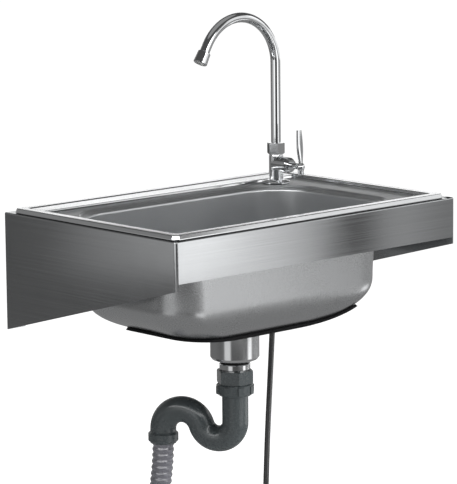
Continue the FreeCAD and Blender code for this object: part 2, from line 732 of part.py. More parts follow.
ADAPTER_FLATS = 2 * (NECK_RADIUS + THREAD_PLAY + ADAPTER_WALL)
ADAPTER_TOP = CUP_Z - NECK_WASHER - NECK_NUT - NECK_SHOWN
HEX_END = ADAPTER_TOP - ADAPTER_HEX
NECK_SEAL_Z = NECK_END - NECK_SEAL
PIPE_HOLE = PIPE_RADIUS + PIPE_PLAY
STUB_OUTER = PIPE_HOLE + ADAPTER_STUB_WALL
STUB_END = HEX_END - ADAPTER_STUB
NUT_TOP = HEX_END - NUT_GAP
NUT_INNER = STUB_OUTER + THREAD_PLAY
NUT_OUTER = NUT_INNER + NUT_WALL - NUT_LUG_RISE
NUT_END = STUB_END - CONE_SEAL - NUT_LIP
LAND_END = NECK_SEAL_Z - ADAPTER_LAND
PIPE_TOP = LAND_END - PIPE_TOP_GAP


def inlet_adapter():
    """Hexagon screwed on the neck, with a land for the neck's seal and a stub for the slip nut."""
    base = at(DRAIN, HEX_END)
    body = hex_bar(ADAPTER_FLATS, base, UP, ADAPTER_HEX, HEX_CHAMFER)
    body = body.fuse(rod(STUB_OUTER, base, DOWN, ADAPTER_STUB))
    seat = at(DRAIN, NECK_SEAL_Z)
    body = body.cut(rod(NECK_RADIUS + THREAD_PLAY, seat, UP, ADAPTER_TOP - seat.z + CUT))
    body = body.cut(rod(NECK_BORE, at(DRAIN, LAND_END - CUT), UP, ADAPTER_LAND + 2 * CUT))
    return body.cut(rod(PIPE_HOLE, at(DRAIN, STUB_END - CUT), UP, LAND_END - STUB_END + CUT))


def neck_seal():
    return ring(NECK_RADIUS, NECK_BORE, at(DRAIN, NECK_SEAL_Z), UP, NECK_SEAL)


def ring_nut():
    base = at(DRAIN, NUT_END)
    height = NUT_TOP - NUT_END
    r, edge = NUT_OUTER, NUT_EDGE
    profile = [(0, 0), (r - NUT_LIP, 0), (r, NUT_LIP), (r, height - edge), (r - edge, height), (0, height)]
    nut = turned(profile, base, UP)
    lugs = []
    for k in range(NUT_LUGS):
        half = NUT_LUG_WIDTH / 2
        lug = box(r - NUT_WALL / 2, r + NUT_LUG_RISE, -half, half, NUT_LIP, height - 2 * edge)
        lug.Placement = FreeCAD.Placement(base, FreeCAD.Rotation(UP, 360 * (k + 0.5) / NUT_LUGS))
        lugs.append(lug)
    nut = nut.multiFuse(lugs)
    nut = nut.cut(rod(NUT_INNER, base + UP * NUT_LIP, UP, height))
    return nut.cut(rod(PIPE_HOLE, base - UP * CUT, UP, height))


def cone_seal():
    return ring(STUB_OUTER, PIPE_RADIUS + PIPE_PLAY / 2, at(DRAIN, STUB_END - CONE_SEAL), UP, CONE_SEAL)


def trap_path():
    """Down, round under the water seal, over the crest and down to the socket's mouth."""
    heading = Vector(math.cos(math.radians(TRAP_HEADING)), math.sin(math.radians(TRAP_HEADING)), 0)
    leg = run(at(DRAIN, PIPE_TOP), DOWN, TRAP_LEG)
    dip = bend(end_of(leg)[0], DOWN, heading, DIP_BEND, TRAP_TURN)
    link = run(*end_of(dip), TRAP_LINK)
    side = link["along"].cross(dip["axis"])
    crest = bend(end_of(link)[0], link["along"], side, CREST_BEND, TRAP_TURN)
    tail = run(end_of(crest)[0], DOWN, TRAP_TAIL)
    return [leg, dip, link, crest, tail]


HOSE_ROOT = HOSE_BORE + HOSE_WALL
HOSE_CREST = HOSE_ROOT + RIB_HEIGHT
SOCKET_MOUTH = end_of(trap_path()[-1])[0]
SEAL_INNER = HOSE_CREST + HOSE_SEAL_PLAY
SEAL_OUTER = SEAL_INNER + HOSE_SEAL_WALL
SOCKET_BORE = SEAL_OUTER + HOSE_SEAL_PLAY / 2
SOCKET_RADIUS = SOCKET_BORE + SOCKET_WALL


def trap_bend():
    """Pipe bent into a water seal, with a wider socket at its outlet."""
    path = trap_path()
    pipe = swept(PIPE_RADIUS, path)
    r, edge, length = SOCKET_RADIUS, SOCKET_EDGE, SOCKET_LENGTH
    step = r - PIPE_RADIUS
    profile = [(0, 0), (r - edge, 0), (r, edge), (r, length - step), (PIPE_RADIUS, length), (0, length)]
    pipe = pipe.fuse(turned(profile, SOCKET_MOUTH, UP))
    pipe = pipe.cut(swept(PIPE_RADIUS - PIPE_WALL, path))
    pipe = pipe.cut(rod(PIPE_RADIUS - PIPE_WALL, at(DRAIN, PIPE_TOP - CUT), UP, 2 * CUT))
    return pipe.cut(rod(SOCKET_BORE, SOCKET_MOUTH - UP * CUT, UP, SOCKET_DEPTH + CUT))


def hose_seal():
    """Rubber cuff between the socket and the hose."""
    return ring(SEAL_OUTER, SEAL_INNER, SOCKET_MOUTH, UP, HOSE_SEAL_LENGTH)


def hose_path():
    return route([SOCKET_MOUTH + p for p in HOSE_ROUTE], "drain hose")


def drain_hose():
    """Ribbed hose: four circles to a rib, all turned about the same X direction, with a plain bore."""
    path = hose_path()
    total = sum(step["length"] for step in path)
    ribs = int(total // RIB_PITCH)
    pitch = total / ribs
    radius = {"root": HOSE_ROOT, "crest": HOSE_CREST}
    stations = [(pitch * (k + share), radius[kind]) for k in range(ribs) for share, kind in RIB_STATIONS]
    stations = [(0, HOSE_ROOT)] + stations + [(total, HOSE_ROOT)]
    sections = []
    centres = []
    for distance, r in stations:
        for step in path:
            if distance <= step["length"] + 1e-6:
                break
            distance -= step["length"]
        point, along = place_on(step, distance)
        circle = Part.Circle(point, along, r)
        circle.XAxis = Vector(1, 0, 0) - along * along.x
        sections.append(Part.Wire(circle.toShape()))
        centres.append(point)
    apart = 4 * len(RIB_STATIONS)
    far = [(a - b).Length for i, a in enumerate(centres) for b in centres[i + apart:]]
    print("drain hose ribs", ribs, "least gap to itself", round(min(far) - 2 * HOSE_CREST, 1))
    first, last = path[0], path[-1]
    bore = [run(first["start"] - first["along"] * CUT, first["along"], first["length"] + CUT)]
    bore += path[1:-1] + [run(last["start"], last["along"], last["length"] + CUT)]
    return Part.makeLoft(sections, True, True).cut(swept(HOSE_BORE, bore))


def hose_end_connector():
    """Barb in the hose's lower end, a collar, and the spigot that goes into a waste pipe."""
    end, along = end_of(hose_path()[-1])
    barb = HOSE_BORE - CONNECTOR_PLAY
    inner = CONNECTOR_SPIGOT - CONNECTOR_WALL
    bore = min(barb, inner) - CONNECTOR_WALL
    collar = CONNECTOR_COLLAR_LENGTH
    tip = collar + CONNECTOR_SPIGOT_LENGTH
    edge = CONNECTOR_EDGE
    spigot = CONNECTOR_SPIGOT
    profile = [(bore, -CONNECTOR_BARB), (barb - edge, -CONNECTOR_BARB), (barb, edge - CONNECTOR_BARB),
               (barb, 0), (CONNECTOR_COLLAR, 0), (CONNECTOR_COLLAR, collar), (spigot, collar),
               (spigot, tip - edge), (spigot - edge, tip), (bore, tip)]
    return turned(profile, end, along)


# Tap on the deck

FLANGE_BASE = DECK_Z + BASE_SEAL
COLUMN_RADIUS = SHANK_RADIUS + SHANK_PLAY + COLUMN_WALL
COLUMN_BASE = FLANGE_BASE + FLANGE_HEIGHT
COLUMN_TOP = COLUMN_BASE + COLUMN_HEIGHT
STUB_TOP = COLUMN_TOP + STUB_HEIGHT
VALVE = Vector(TAP.x, TAP.y, COLUMN_TOP - VALVE_DROP)
BOSS_RADIUS = VALVE_BORE + BOSS_WALL
SHANK_TOP = COLUMN_BASE + SHANK_LAP
SHANK_FOOT = DECK_Z - SHANK_LENGTH
TUBE_HOLE = TUBE_RADIUS + TURN_PLAY
STUB_RADIUS = TUBE_HOLE + 2 * O_RING + STUB_WALL
TUBE_FOOT = COLUMN_TOP + TUBE_FOOT_GAP


def base_seal():
    return ring(FLANGE_RADIUS - BASE_SEAL_INSET, SHANK_RADIUS + SHANK_PLAY, at(TAP, DECK_Z), UP, BASE_SEAL)


def base_flange():
    """Domed cover plate under the tap's column."""
    hole = SHANK_RADIUS + SHANK_PLAY
    r, edge = FLANGE_RADIUS, FLANGE_EDGE
    crown = COLUMN_RADIUS + FLANGE_CROWN
    profile = [(hole, 0), (r, 0), (r, edge), (r - FLANGE_BEVEL, edge + FLANGE_BEVEL),
               (crown, FLANGE_HEIGHT), (hole, FLANGE_HEIGHT)]
    return turned(profile, at(TAP, FLANGE_BASE), UP)


def tap_body():
    """Column with the spout's stub on top and the valve's boss in front, bored for the water."""
    r, h, edge = COLUMN_RADIUS, COLUMN_HEIGHT, BODY_EDGE
    top = h + STUB_HEIGHT
    column = [(0, 0), (r, 0), (r, h - edge), (STUB_RADIUS, h), (STUB_RADIUS, top), (0, top)]
    reach = BOSS_REACH
    boss = [(0, 0), (BOSS_RADIUS, 0), (BOSS_RADIUS, reach - edge), (BOSS_RADIUS - edge, reach), (0, reach)]
    body = turned(column, at(TAP, COLUMN_BASE), UP).fuse(turned(boss, VALVE, FRONT))
    body = body.cut(rod(SHANK_RADIUS + SHANK_PLAY, at(TAP, COLUMN_BASE - CUT), UP, SHANK_LAP + CUT))
    body = body.cut(rod(VALVE_BORE, VALVE + FRONT * VALVE_FLOOR, FRONT, BOSS_REACH))
    body = body.cut(rod(WATERWAY, at(TAP, SHANK_TOP - CUT), UP, VALVE.z - SHANK_TOP + CUT))
    body = body.cut(rod(WATERWAY, VALVE, FRONT, VALVE_FLOOR + CUT))
    outlet = VALVE + FRONT * WATERWAY_OFFSET + UP * WATERWAY_STEP
    body = body.cut(rod(WATERWAY, outlet, UP, COLUMN_TOP - outlet.z + CUT))
    body = body.cut(rod(TUBE_HOLE, at(TAP, COLUMN_TOP), UP, STUB_HEIGHT + CUT))
    for z in o_ring_levels():
        groove = TUBE_HOLE + 2 * O_RING - TURN_PLAY
        body = body.cut(rod(groove, at(TAP, z - O_RING - 2 * TURN_PLAY), UP, 2 * O_RING + 4 * TURN_PLAY))
    return body.removeSplitter()


def o_ring_levels():
    return (STUB_TOP - O_RING_DROP, STUB_TOP - O_RING_DROP - O_RING_SPACING)


def spout_o_rings():
    radius = TUBE_RADIUS + TURN_PLAY + O_RING
    section = O_RING - TURN_PLAY
    return Part.makeCompound([Part.makeTorus(radius, section, at(TAP, z), UP) for z in o_ring_levels()])


def tap_shank():
    return ring(SHANK_RADIUS, SHANK_BORE, at(TAP, SHANK_FOOT), UP, SHANK_TOP - SHANK_FOOT)


def under_deck(drop):
    return at(TAP, DECK_Z - SINK_SHEET - drop)


def deck_washer():
    return ring(DECK_WASHER_RADIUS, SHANK_RADIUS + SHANK_PLAY, under_deck(0), DOWN, DECK_WASHER)


def clamp_washer():
    return ring(CLAMP_WASHER_RADIUS, SHANK_RADIUS + SHANK_PLAY, under_deck(DECK_WASHER), DOWN, CLAMP_WASHER)


def tap_backnut():
    base = under_deck(DECK_WASHER + CLAMP_WASHER)
    nut = hex_bar(BACKNUT_FLATS, base, DOWN, BACKNUT_HEIGHT, HEX_CHAMFER)
    return nut.cut(rod(SHANK_RADIUS + THREAD_PLAY, base + UP * CUT, DOWN, BACKNUT_HEIGHT + 2 * CUT))


# Spout

COLLAR_FLATS = 2 * (STUB_RADIUS + THREAD_PLAY + COLLAR_WALL)
RING_Z = STUB_TOP + REST_GAP
COLLAR_BASE = STUB_TOP - COLLAR_LAP
COLLAR_CEILING = RING_Z + SPOUT_RING + REST_GAP
COLLAR_TOP = COLLAR_CEILING + COLLAR_LIP
BEND_Z = COLUMN_TOP + SPOUT_RISE
LEFT = Vector(-1, 0, 0)
AERATOR_BORE = TUBE_RADIUS + AERATOR_STEP
AERATOR_TOP = TUBE_RADIUS + AERATOR_WALL
AERATOR_MOUTH = AERATOR_TOP + AERATOR_FLARE


def spout_path(tail):
    column = run(at(TAP, TUBE_FOOT), UP, BEND_Z - TUBE_FOOT)
    crook = bend(at(TAP, BEND_Z), UP, LEFT, SPOUT_BEND, SPOUT_TURN)
    return [column, crook, run(*end_of(crook), tail)]


def spout_tube():
    inner = spout_path(SPOUT_TAIL + CUT)
    tube = swept(TUBE_RADIUS, spout_path(SPOUT_TAIL)).cut(swept(TUBE_RADIUS - TUBE_WALL, inner))
    return tube.cut(rod(TUBE_RADIUS - TUBE_WALL, at(TAP, TUBE_FOOT - CUT), UP, 2 * CUT))


def spout_ring():
    """Nylon ring on the tube, held under the collar nut's lip."""
    return ring(TUBE_RADIUS + SPOUT_RING_WIDTH, TUBE_RADIUS + TURN_PLAY / 2, at(TAP, RING_Z), UP, SPOUT_RING)


def collar_nut():
    base = at(TAP, COLLAR_BASE)
    nut = hex_bar(COLLAR_FLATS, base, UP, COLLAR_TOP - COLLAR_BASE, HEX_CHAMFER)
    nut = nut.cut(rod(STUB_RADIUS + THREAD_PLAY, base - UP * CUT, UP, COLLAR_CEILING - COLLAR_BASE + CUT))
    return nut.cut(rod(TUBE_HOLE, base, UP, COLLAR_TOP - COLLAR_BASE + CUT))


def spout_mouth():
    """Lower end of the spout's tube, and the way the water leaves it."""
    return end_of(spout_path(SPOUT_TAIL)[-1])


def aerator_housing():
    end, along = spout_mouth()
    base = end - along * AERATOR_LAP
    length = AERATOR_LENGTH
    hole = TUBE_RADIUS + TURN_PLAY
    edge = AERATOR_EDGE
    lip = AERATOR_BORE - edge
    profile = [(hole, 0), (AERATOR_TOP - edge, 0), (AERATOR_TOP, edge), (AERATOR_MOUTH, length - edge),
               (AERATOR_MOUTH - edge, length), (lip, length), (lip, length - AERATOR_LIP),
               (AERATOR_BORE, length - AERATOR_LIP), (AERATOR_BORE, AERATOR_LAP), (hole, AERATOR_LAP)]
    return turned(profile, base, along)


def aerator_insert():
    """Plastic grid that mixes air into the stream."""
    end, along = spout_mouth()
    base = end + along * REST_GAP
    depth = AERATOR_LENGTH - AERATOR_LAP - AERATOR_LIP - 2 * REST_GAP
    grid = rod(AERATOR_BORE - CARTRIDGE_PLAY, base, along, depth)
    across = along.cross(FRONT)
    start = base - along * CUT
    holes = [rod(AERATOR_HOLE, start, along, depth + 2 * CUT)]
    for k in range(AERATOR_HOLES):
        side = FreeCAD.Rotation(along, 360 * k / AERATOR_HOLES).multVec(across)
        holes.append(rod(AERATOR_HOLE, start + side * AERATOR_HOLE_CIRCLE, along, depth + 2 * CUT))
    return grid.cut(Part.makeCompound(holes))


# Valve and lever

DISC_RADIUS = VALVE_BORE - 2 * CARTRIDGE_PLAY - CARTRIDGE_WALL
BONNET_RADIUS = VALVE_BORE + BONNET_LAP
CARTRIDGE_IN = VALVE_FLOOR + VALVE_SEAL
CARTRIDGE_OUT = CARTRIDGE_IN + CARTRIDGE_LENGTH
MOVING_IN = CARTRIDGE_IN + DISC_THICKNESS + DISC_GAP
FOOT_IN = MOVING_IN + DISC_THICKNESS
FOOT_OUT = FOOT_IN + SPINDLE_FOOT
BONNET_OUT = BOSS_REACH + BONNET_HEAD
HUB_FACE = LEVER_REACH - HUB_RADIUS
SPINDLE_HOLE = SPINDLE_RADIUS + TURN_PLAY
HUB = VALVE + FRONT * LEVER_REACH


def valve_seal():
    return ring(VALVE_BORE - CARTRIDGE_PLAY, VALVE_SEAL_HOLE, VALVE + FRONT * VALVE_FLOOR, FRONT, VALVE_SEAL)


def valve_cartridge():
    shoulder = FOOT_OUT + REST_GAP
    hole = DISC_RADIUS + CARTRIDGE_PLAY
    outer = VALVE_BORE - CARTRIDGE_PLAY
    profile = [(hole, CARTRIDGE_IN), (outer, CARTRIDGE_IN), (outer, CARTRIDGE_OUT),
               (SPINDLE_HOLE, CARTRIDGE_OUT), (SPINDLE_HOLE, shoulder), (hole, shoulder)]
    return turned(profile, VALVE, FRONT)


def ported_disc(start):
    disc = rod(DISC_RADIUS, VALVE + FRONT * start, FRONT, DISC_THICKNESS)
    port = VALVE + FRONT * (start - CUT) + UP * (DISC_RADIUS / 2)
    return disc.cut(rod(DISC_PORT, port, FRONT, DISC_THICKNESS + 2 * CUT))


def valve_spindle():
    r, e = SPINDLE_RADIUS, SPINDLE_END
    neck = HUB_FACE - HUB_GAP
    tip = LEVER_REACH + e
    profile = [(0, FOOT_IN), (DISC_RADIUS, FOOT_IN), (DISC_RADIUS, FOOT_OUT), (r, FOOT_OUT), (r, neck),
               (e, neck), (e, tip), (0, tip)]
    return turned(profile, VALVE, FRONT)


def bonnet_nut():
    """Plug screwed into the boss that holds the cartridge in."""
    r, edge = BONNET_RADIUS, BONNET_EDGE
    plug = VALVE_BORE - CARTRIDGE_PLAY
    profile = [(SPINDLE_HOLE, CARTRIDGE_OUT), (plug, CARTRIDGE_OUT), (plug, BOSS_REACH), (r, BOSS_REACH),
               (r, BONNET_OUT - edge), (r - edge, BONNET_OUT), (SPINDLE_HOLE, BONNET_OUT)]
    return turned(profile, VALVE, FRONT)


def lever_handle():
    """Blade on a ball, with a boss below the ball for the grub screw."""
    r, c, low = HUB_BOSS, HUB_EDGE, -HUB_BELOW
    boss = turned([(0, low), (r - c, low), (r, low + c), (r, 0), (0, 0)], HUB, UP)
    hub = Part.makeSphere(HUB_RADIUS, HUB).fuse(boss)
    sections = []
    foot = HUB_RADIUS - LEVER_SINK
    for share, half_width, half_depth in LEVER_SECTIONS:
        z = foot + (LEVER_TOP - foot) * share
        centre = HUB + Vector(0, LEVER_LEAN * share, z)
        ellipse = Part.Ellipse(centre + Vector(half_width, 0, 0), centre + Vector(0, half_depth, 0), centre)
        sections.append(Part.Wire(ellipse.toShape()))
    lever = hub.fuse(Part.makeLoft(sections, True, False))
    behind = HUB_RADIUS + CUT
    depth = behind + SPINDLE_END + HUB_GAP
    lever = lever.cut(rod(SPINDLE_END + TURN_PLAY, HUB - FRONT * behind, FRONT, depth))
    return lever.cut(rod(GRUB_RADIUS + GRUB_PLAY, HUB + DOWN * (HUB_BELOW + CUT), UP, HUB_BELOW + CUT))


def lever_grub_screw():
    top = -SPINDLE_END - GRUB_PLAY
    screw = rod(GRUB_RADIUS, HUB + DOWN * HUB_BELOW, UP, HUB_BELOW + top)
    return screw.cut(hexagon(GRUB_SOCKET, HUB + DOWN * (HUB_BELOW + CUT), UP, GRUB_SOCKET + CUT))


# Supply hose

TAIL_FLANGE_RADIUS = SHANK_RADIUS - TAIL_FLANGE_STEP
SLEEVE_RADIUS = SUPPLY_RADIUS + TAIL_PLAY + SLEEVE_WALL


def union(seat, away):
    """Washer, union nut, tail and crimp sleeve at one end of the hose; away points along the hose."""
    flange_end = SUPPLY_WASHER + TAIL_FLANGE
    nut_end = flange_end + UNION_HEIGHT - UNION_LAP
    washer = ring(TAIL_FLANGE_RADIUS, SUPPLY_WASHER_HOLE, seat, away, SUPPLY_WASHER)
    nut = hex_bar(UNION_FLATS, seat - away * UNION_LAP, away, UNION_LAP + nut_end, HEX_CHAMFER)
    nut = nut.cut(rod(SHANK_RADIUS + THREAD_PLAY, seat - away * (UNION_LAP + CUT), away, UNION_LAP + CUT))
    nut = nut.cut(rod(TAIL_FLANGE_RADIUS + THREAD_PLAY, seat - away * CUT, away, flange_end + CUT))
    nut = nut.cut(rod(TAIL_NECK + UNION_PLAY, seat, away, nut_end + CUT))
    sleeve_start = nut_end + UNION_PLAY
    stem = SUPPLY_BORE - TAIL_PLAY
    stem_end = sleeve_start + TAIL_STEM
    flange = TAIL_FLANGE_RADIUS
    profile = [(TAIL_BORE, SUPPLY_WASHER), (flange, SUPPLY_WASHER), (flange, flange_end),
               (TAIL_NECK, flange_end), (TAIL_NECK, sleeve_start), (stem, sleeve_start), (stem, stem_end),
               (TAIL_BORE, stem_end)]
    tail = turned(profile, seat, away)
    sleeve = ring(SLEEVE_RADIUS, SUPPLY_RADIUS + TAIL_PLAY, seat + away * sleeve_start, away, SLEEVE_LENGTH)
    return {"washer": washer, "nut": nut, "tail": tail, "sleeve": sleeve, "hose": seat + away * sleeve_start}


def supply_path():
    start = union(at(TAP, SHANK_FOOT), DOWN)["hose"]
    return route([start + p for p in SUPPLY_ROUTE], "supply hose")


def supply_tube():
    path = supply_path()
    length = sum(step["length"] for step in path)
    tube = swept(SUPPLY_RADIUS, path)
    plain = math.pi * SUPPLY_RADIUS ** 2 * length
    print("supply hose volume over section times length", round(tube.Volume / plain, 4))
    first, last = path[0], path[-1]
    bore = [run(first["start"] - first["along"] * CUT, first["along"], first["length"] + CUT)]
    bore += path[1:-1] + [run(last["start"], last["along"], last["length"] + CUT)]
    return tube.cut(swept(SUPPLY_BORE, bore))


def lower_union():
    """The same fitting at the hose's lower end, turned over."""
    end, along = end_of(supply_path()[-1])
    reach = SUPPLY_WASHER + TAIL_FLANGE + UNION_HEIGHT - UNION_LAP + UNION_PLAY
    return union(end + along * reach, along * -1)


def main():
    os.makedirs("parts", exist_ok=True)
    upper = union(at(TAP, SHANK_FOOT), DOWN)
    lower = lower_union()
    nodes = {
        "bracket_shell": bracket_shell(),
        "rear_rail": rear_rail(),
        "sink_basin": sink_basin(),
        "rim_seal": rim_seal(),
        "sound_pad": sound_pad(),
        "strainer_body": strainer_body(),
        "flange_gasket": flange_gasket(),
        "under_gasket": under_gasket(),
        "strainer_locknut": strainer_locknut(),
        "outlet_neck": outlet_neck(),
        "neck_washer": neck_washer(),
        "neck_nut": neck_nut(),
        "strainer_basket": strainer_basket(),
        "basket_stopper": basket_stopper(),
        "basket_knob": basket_knob(),
        "inlet_adapter": inlet_adapter(),
        "neck_seal": neck_seal(),
        "ring_nut": ring_nut(),
        "cone_seal": cone_seal(),
        "trap_bend": trap_bend(),
        "hose_seal": hose_seal(),
        "drain_hose": drain_hose(),
        "hose_end_connector": hose_end_connector(),
        "base_seal": base_seal(),
        "base_flange": base_flange(),
        "tap_body": tap_body(),
        "tap_shank": tap_shank(),
        "deck_washer": deck_washer(),
        "clamp_washer": clamp_washer(),
        "tap_backnut": tap_backnut(),
        "collar_nut": collar_nut(),
        "spout_o_rings": spout_o_rings(),
        "spout_ring": spout_ring(),
        "spout_tube": spout_tube(),
        "aerator_housing": aerator_housing(),
        "aerator_insert": aerator_insert(),
        "valve_seal": valve_seal(),
        "valve_cartridge": valve_cartridge(),
        "fixed_disc": ported_disc(CARTRIDGE_IN),
        "moving_disc": ported_disc(MOVING_IN),
        "valve_spindle": valve_spindle(),
        "bonnet_nut": bonnet_nut(),
        "lever_handle": lever_handle(),
        "lever_grub_screw": lever_grub_screw(),
        "supply_washer": upper["washer"],
        "supply_nut": upper["nut"],
        "supply_tail": upper["tail"],
        "supply_sleeve": upper["sleeve"],
        "supply_tube": supply_tube(),
        "inlet_sleeve": lower["sleeve"],
        "inlet_tail": lower["tail"],
        "inlet_washer": lower["washer"],
        "inlet_nut": lower["nut"],
    }
    for name, shape in nodes.items():
        shape.exportStep(f"parts/{name}.step")


main()
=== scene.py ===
import math

import bmesh
import bpy
from bpy.props import FloatProperty, FloatVectorProperty, IntProperty, PointerProperty
from mathutils import Matrix, Vector


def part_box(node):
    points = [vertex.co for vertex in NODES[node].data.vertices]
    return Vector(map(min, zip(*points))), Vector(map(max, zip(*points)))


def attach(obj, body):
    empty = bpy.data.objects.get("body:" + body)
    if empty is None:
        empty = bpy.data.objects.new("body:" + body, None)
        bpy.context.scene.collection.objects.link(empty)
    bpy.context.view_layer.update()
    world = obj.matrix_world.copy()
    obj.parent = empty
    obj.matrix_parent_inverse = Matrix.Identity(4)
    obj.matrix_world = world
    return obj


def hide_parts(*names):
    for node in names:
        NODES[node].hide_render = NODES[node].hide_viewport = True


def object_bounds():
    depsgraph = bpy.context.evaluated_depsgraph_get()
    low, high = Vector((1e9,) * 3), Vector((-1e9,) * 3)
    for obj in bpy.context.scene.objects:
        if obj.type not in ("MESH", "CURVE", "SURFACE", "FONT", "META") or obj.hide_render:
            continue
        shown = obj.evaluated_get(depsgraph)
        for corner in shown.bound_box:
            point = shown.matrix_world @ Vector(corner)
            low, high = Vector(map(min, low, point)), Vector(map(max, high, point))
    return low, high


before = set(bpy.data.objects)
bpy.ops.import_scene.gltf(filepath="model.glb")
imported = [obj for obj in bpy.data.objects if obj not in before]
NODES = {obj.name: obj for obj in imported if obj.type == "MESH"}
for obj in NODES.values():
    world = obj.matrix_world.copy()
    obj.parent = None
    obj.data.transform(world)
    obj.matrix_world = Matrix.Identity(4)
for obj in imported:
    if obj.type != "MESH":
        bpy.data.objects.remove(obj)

bl_info = {
    "name": "Wall-mounted hand sink",
    "version": (1, 0, 0),
    "blender": (4, 5, 0),
    "location": "View3D > Sidebar > Hand sink",
    "description": "Dresses a wall-mounted hand sink: basin, hoses, pad and finishes",
    "category": "Object",
}

CAD_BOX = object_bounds()
ROOT = "sink"

# Height of the rim's lower edge, which stands on the seal
RIM_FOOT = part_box("rim_seal")[1].z

# The photograph's frame and the camera that it was taken with
IMAGE_WIDTH = 457
IMAGE_HEIGHT = 484
FOCAL_PIXELS = 2999.98
AXIS_PIXEL = (232.214, 242.103)
CAMERA_AZIMUTH = -0.74275
CAMERA_ELEVATION = 0.16894
CAMERA_ROLL = -0.00963
CAMERA_OFFSET = (0.129956, -0.078880, 4.66919)
SENSOR_MM = 36
VIEW_END = 200

# Routes of the two hoses, from the socket's mouth and from the upper union
DRAIN_ROUTE = ((0, 0, 0.0135), (0, 0, -0.030), (-0.014, 0.003, -0.112),
               (-0.024, 0.006, -0.210), (-0.028, 0.009, -0.306), (-0.027, 0.010, -0.380))
SUPPLY_ROUTE = ((0, 0, 0), (0, 0, -0.048), (-0.007, 0.001, -0.130), (-0.015, 0, -0.235),
                (-0.022, 0.001, -0.340), (-0.028, 0, -0.440), (-0.030, 0.002, -0.520),
                (-0.030, 0.003, -0.566))

# Light on the matt pieces: from all round, and lamps with their place, aim, size and power
AMBIENT = 0.45
LAMPS = (
    ("lamp_above", (0.2, -1.2, 2.2), (0, -0.2, 0), (1.8, 1.2), 40),
    ("lamp_right", (0.9, -2.2, 0.2), (0, -0.2, -0.2), (0.9, 1.2), 22),
)

# The floor's half width, and the glow that makes it as white as the background
FLOOR_HALF = 40.0
FLOOR_GLOW = 0.66

# A round screen that only the metal shows: its radius, lowest and highest edge, and degrees per panel
SCREEN_RADIUS = 1.6
SCREEN_FOOT = -1.4
SCREEN_TOP = 2.5
PANEL_DEGREES = 3

# Tones of the screen: bearing in degrees from the camera, negative to its left, and the tone there
FRONT_TONES = ((-180, 0.45), (-150, 0.40), (-100, 0.10), (-88, 0.12), (-84, 0.36), (-80, 0.46), (-77, 0.52),
               (-46, 0.36), (-38, 1.2), (-8, 1.2), (2, 0.05), (40, 0.05), (49, 1.3), (69, 1.6), (73, 1.0),
               (77.2, 0.62), (78.2, 0.0), (80.4, 0.0), (81.2, 0.48), (83.2, 0.50), (85, 0.25), (130, 0.40),
               (180, 0.45))
HIGH_TONES = ((-180, 0.45), (-150, 0.40), (-110, 0.22), (-80, 0.24), (-46, 0.36), (-38, 1.2), (-8, 1.2),
              (2, 0.05), (40, 0.05), (49, 1.3), (69, 1.2), (76, 0.9), (130, 1.0), (180, 1.0))
FOOT_TONES = ((-180, 0.12), (-46, 0.12), (-22, 0.16), (-6, 0.38), (30, 0.38), (42, 0.10), (72.8, 0.10),
              (74.6, 1.7), (76, 1.2), (77.2, 0.60), (78.5, 0.34), (80, 0.28), (83, 0.42), (130, 0.35),
              (180, 0.12))
BASE_TONES = ((-180, 0.10), (-100, 0.16), (-60, 0.12), (-44, 0.16), (-36, 0.75), (-16, 0.75), (-8, 0.08),
              (20, 0.08), (40, 0.16), (56, 0.16), (64, 1.3), (74, 1.3), (84, 0.25), (130, 0.35), (180, 0.12))
HOSE_TONES = ((-180, 0.16), (-50, 0.16), (-36, 0.5), (-16, 0.5), (-6, 0.24), (36, 0.18), (42, 1.6), (62, 1.6),
              (68, 0.25), (86, 0.25), (92, 1.6), (115, 1.6), (125, 0.3), (180, 0.30))
UPPER_TONES = ((-180, 0.20), (-60, 0.20), (70, 0.12), (76, 0.9), (94, 0.9), (100, 1.5), (108, 1.5),
               (114, 0.12), (180, 0.20))
REAR_TONES = ((-180, 0.08), (180, 0.08))
WALL_TONES = ((-180, 0.40), (180, 0.40))
BAND_TONES = ((-180, 1.25), (180, 1.25))
BOX_TONES = ((-180, 4.5), (180, 4.5))

# Parts of the screen: first and last bearing, lower and upper edge, tones
SURROUND = (
    ("screen_hose", -150, 150, SCREEN_FOOT, -0.58, HOSE_TONES),
    ("screen_base", -150, 150, -0.58, -0.46, BASE_TONES),
    ("foot_left", -150, -60, -0.46, -0.345, FOOT_TONES),
    ("foot_front", -60, 60, -0.46, -0.25, FOOT_TONES),
    ("foot_right", 60, 150, -0.46, -0.345, FOOT_TONES),
    ("low_left", -150, -60, -0.345, 0.08, FRONT_TONES),
    ("low_front", -60, 60, -0.25, 0.08, FRONT_TONES),
    ("low_right", 60, 150, -0.345, 0.08, FRONT_TONES),
    ("screen_high", -140, 130, 0.08, 0.5, HIGH_TONES),
    ("rear_foot", 150, 210, SCREEN_FOOT, -0.35, WALL_TONES),
    ("rear_low", 150, 210, -0.35, 0.20, REAR_TONES),
    ("rear_band", 130, 220, 0.20, 0.34, BAND_TONES),
    ("rear_high", 130, 220, 0.34, 0.5, REAR_TONES),
    ("upper_screen", 60, 300, 0.5, 1.1, UPPER_TONES),
    ("upper_high", 60, 300, 1.1, SCREEN_TOP, REAR_TONES),
    ("front_box", -60, 60, 0.5, 0.85, BOX_TONES),
    ("front_high", -60, 60, 0.85, SCREEN_TOP, REAR_TONES),
)

# Level cards under and over the sink: height and tone; the lower one lies just over the floor
CARD_LIFT = 0.002
CARDS = (
    ("floor_card", CAD_BOX[0].z + CARD_LIFT, 0.26),
    ("overhead_card", SCREEN_TOP, 0.30),
)

# Points along each corner arc and each side of a rounded outline
ARC_STEPS = 14
SIDE_STEPS = 24

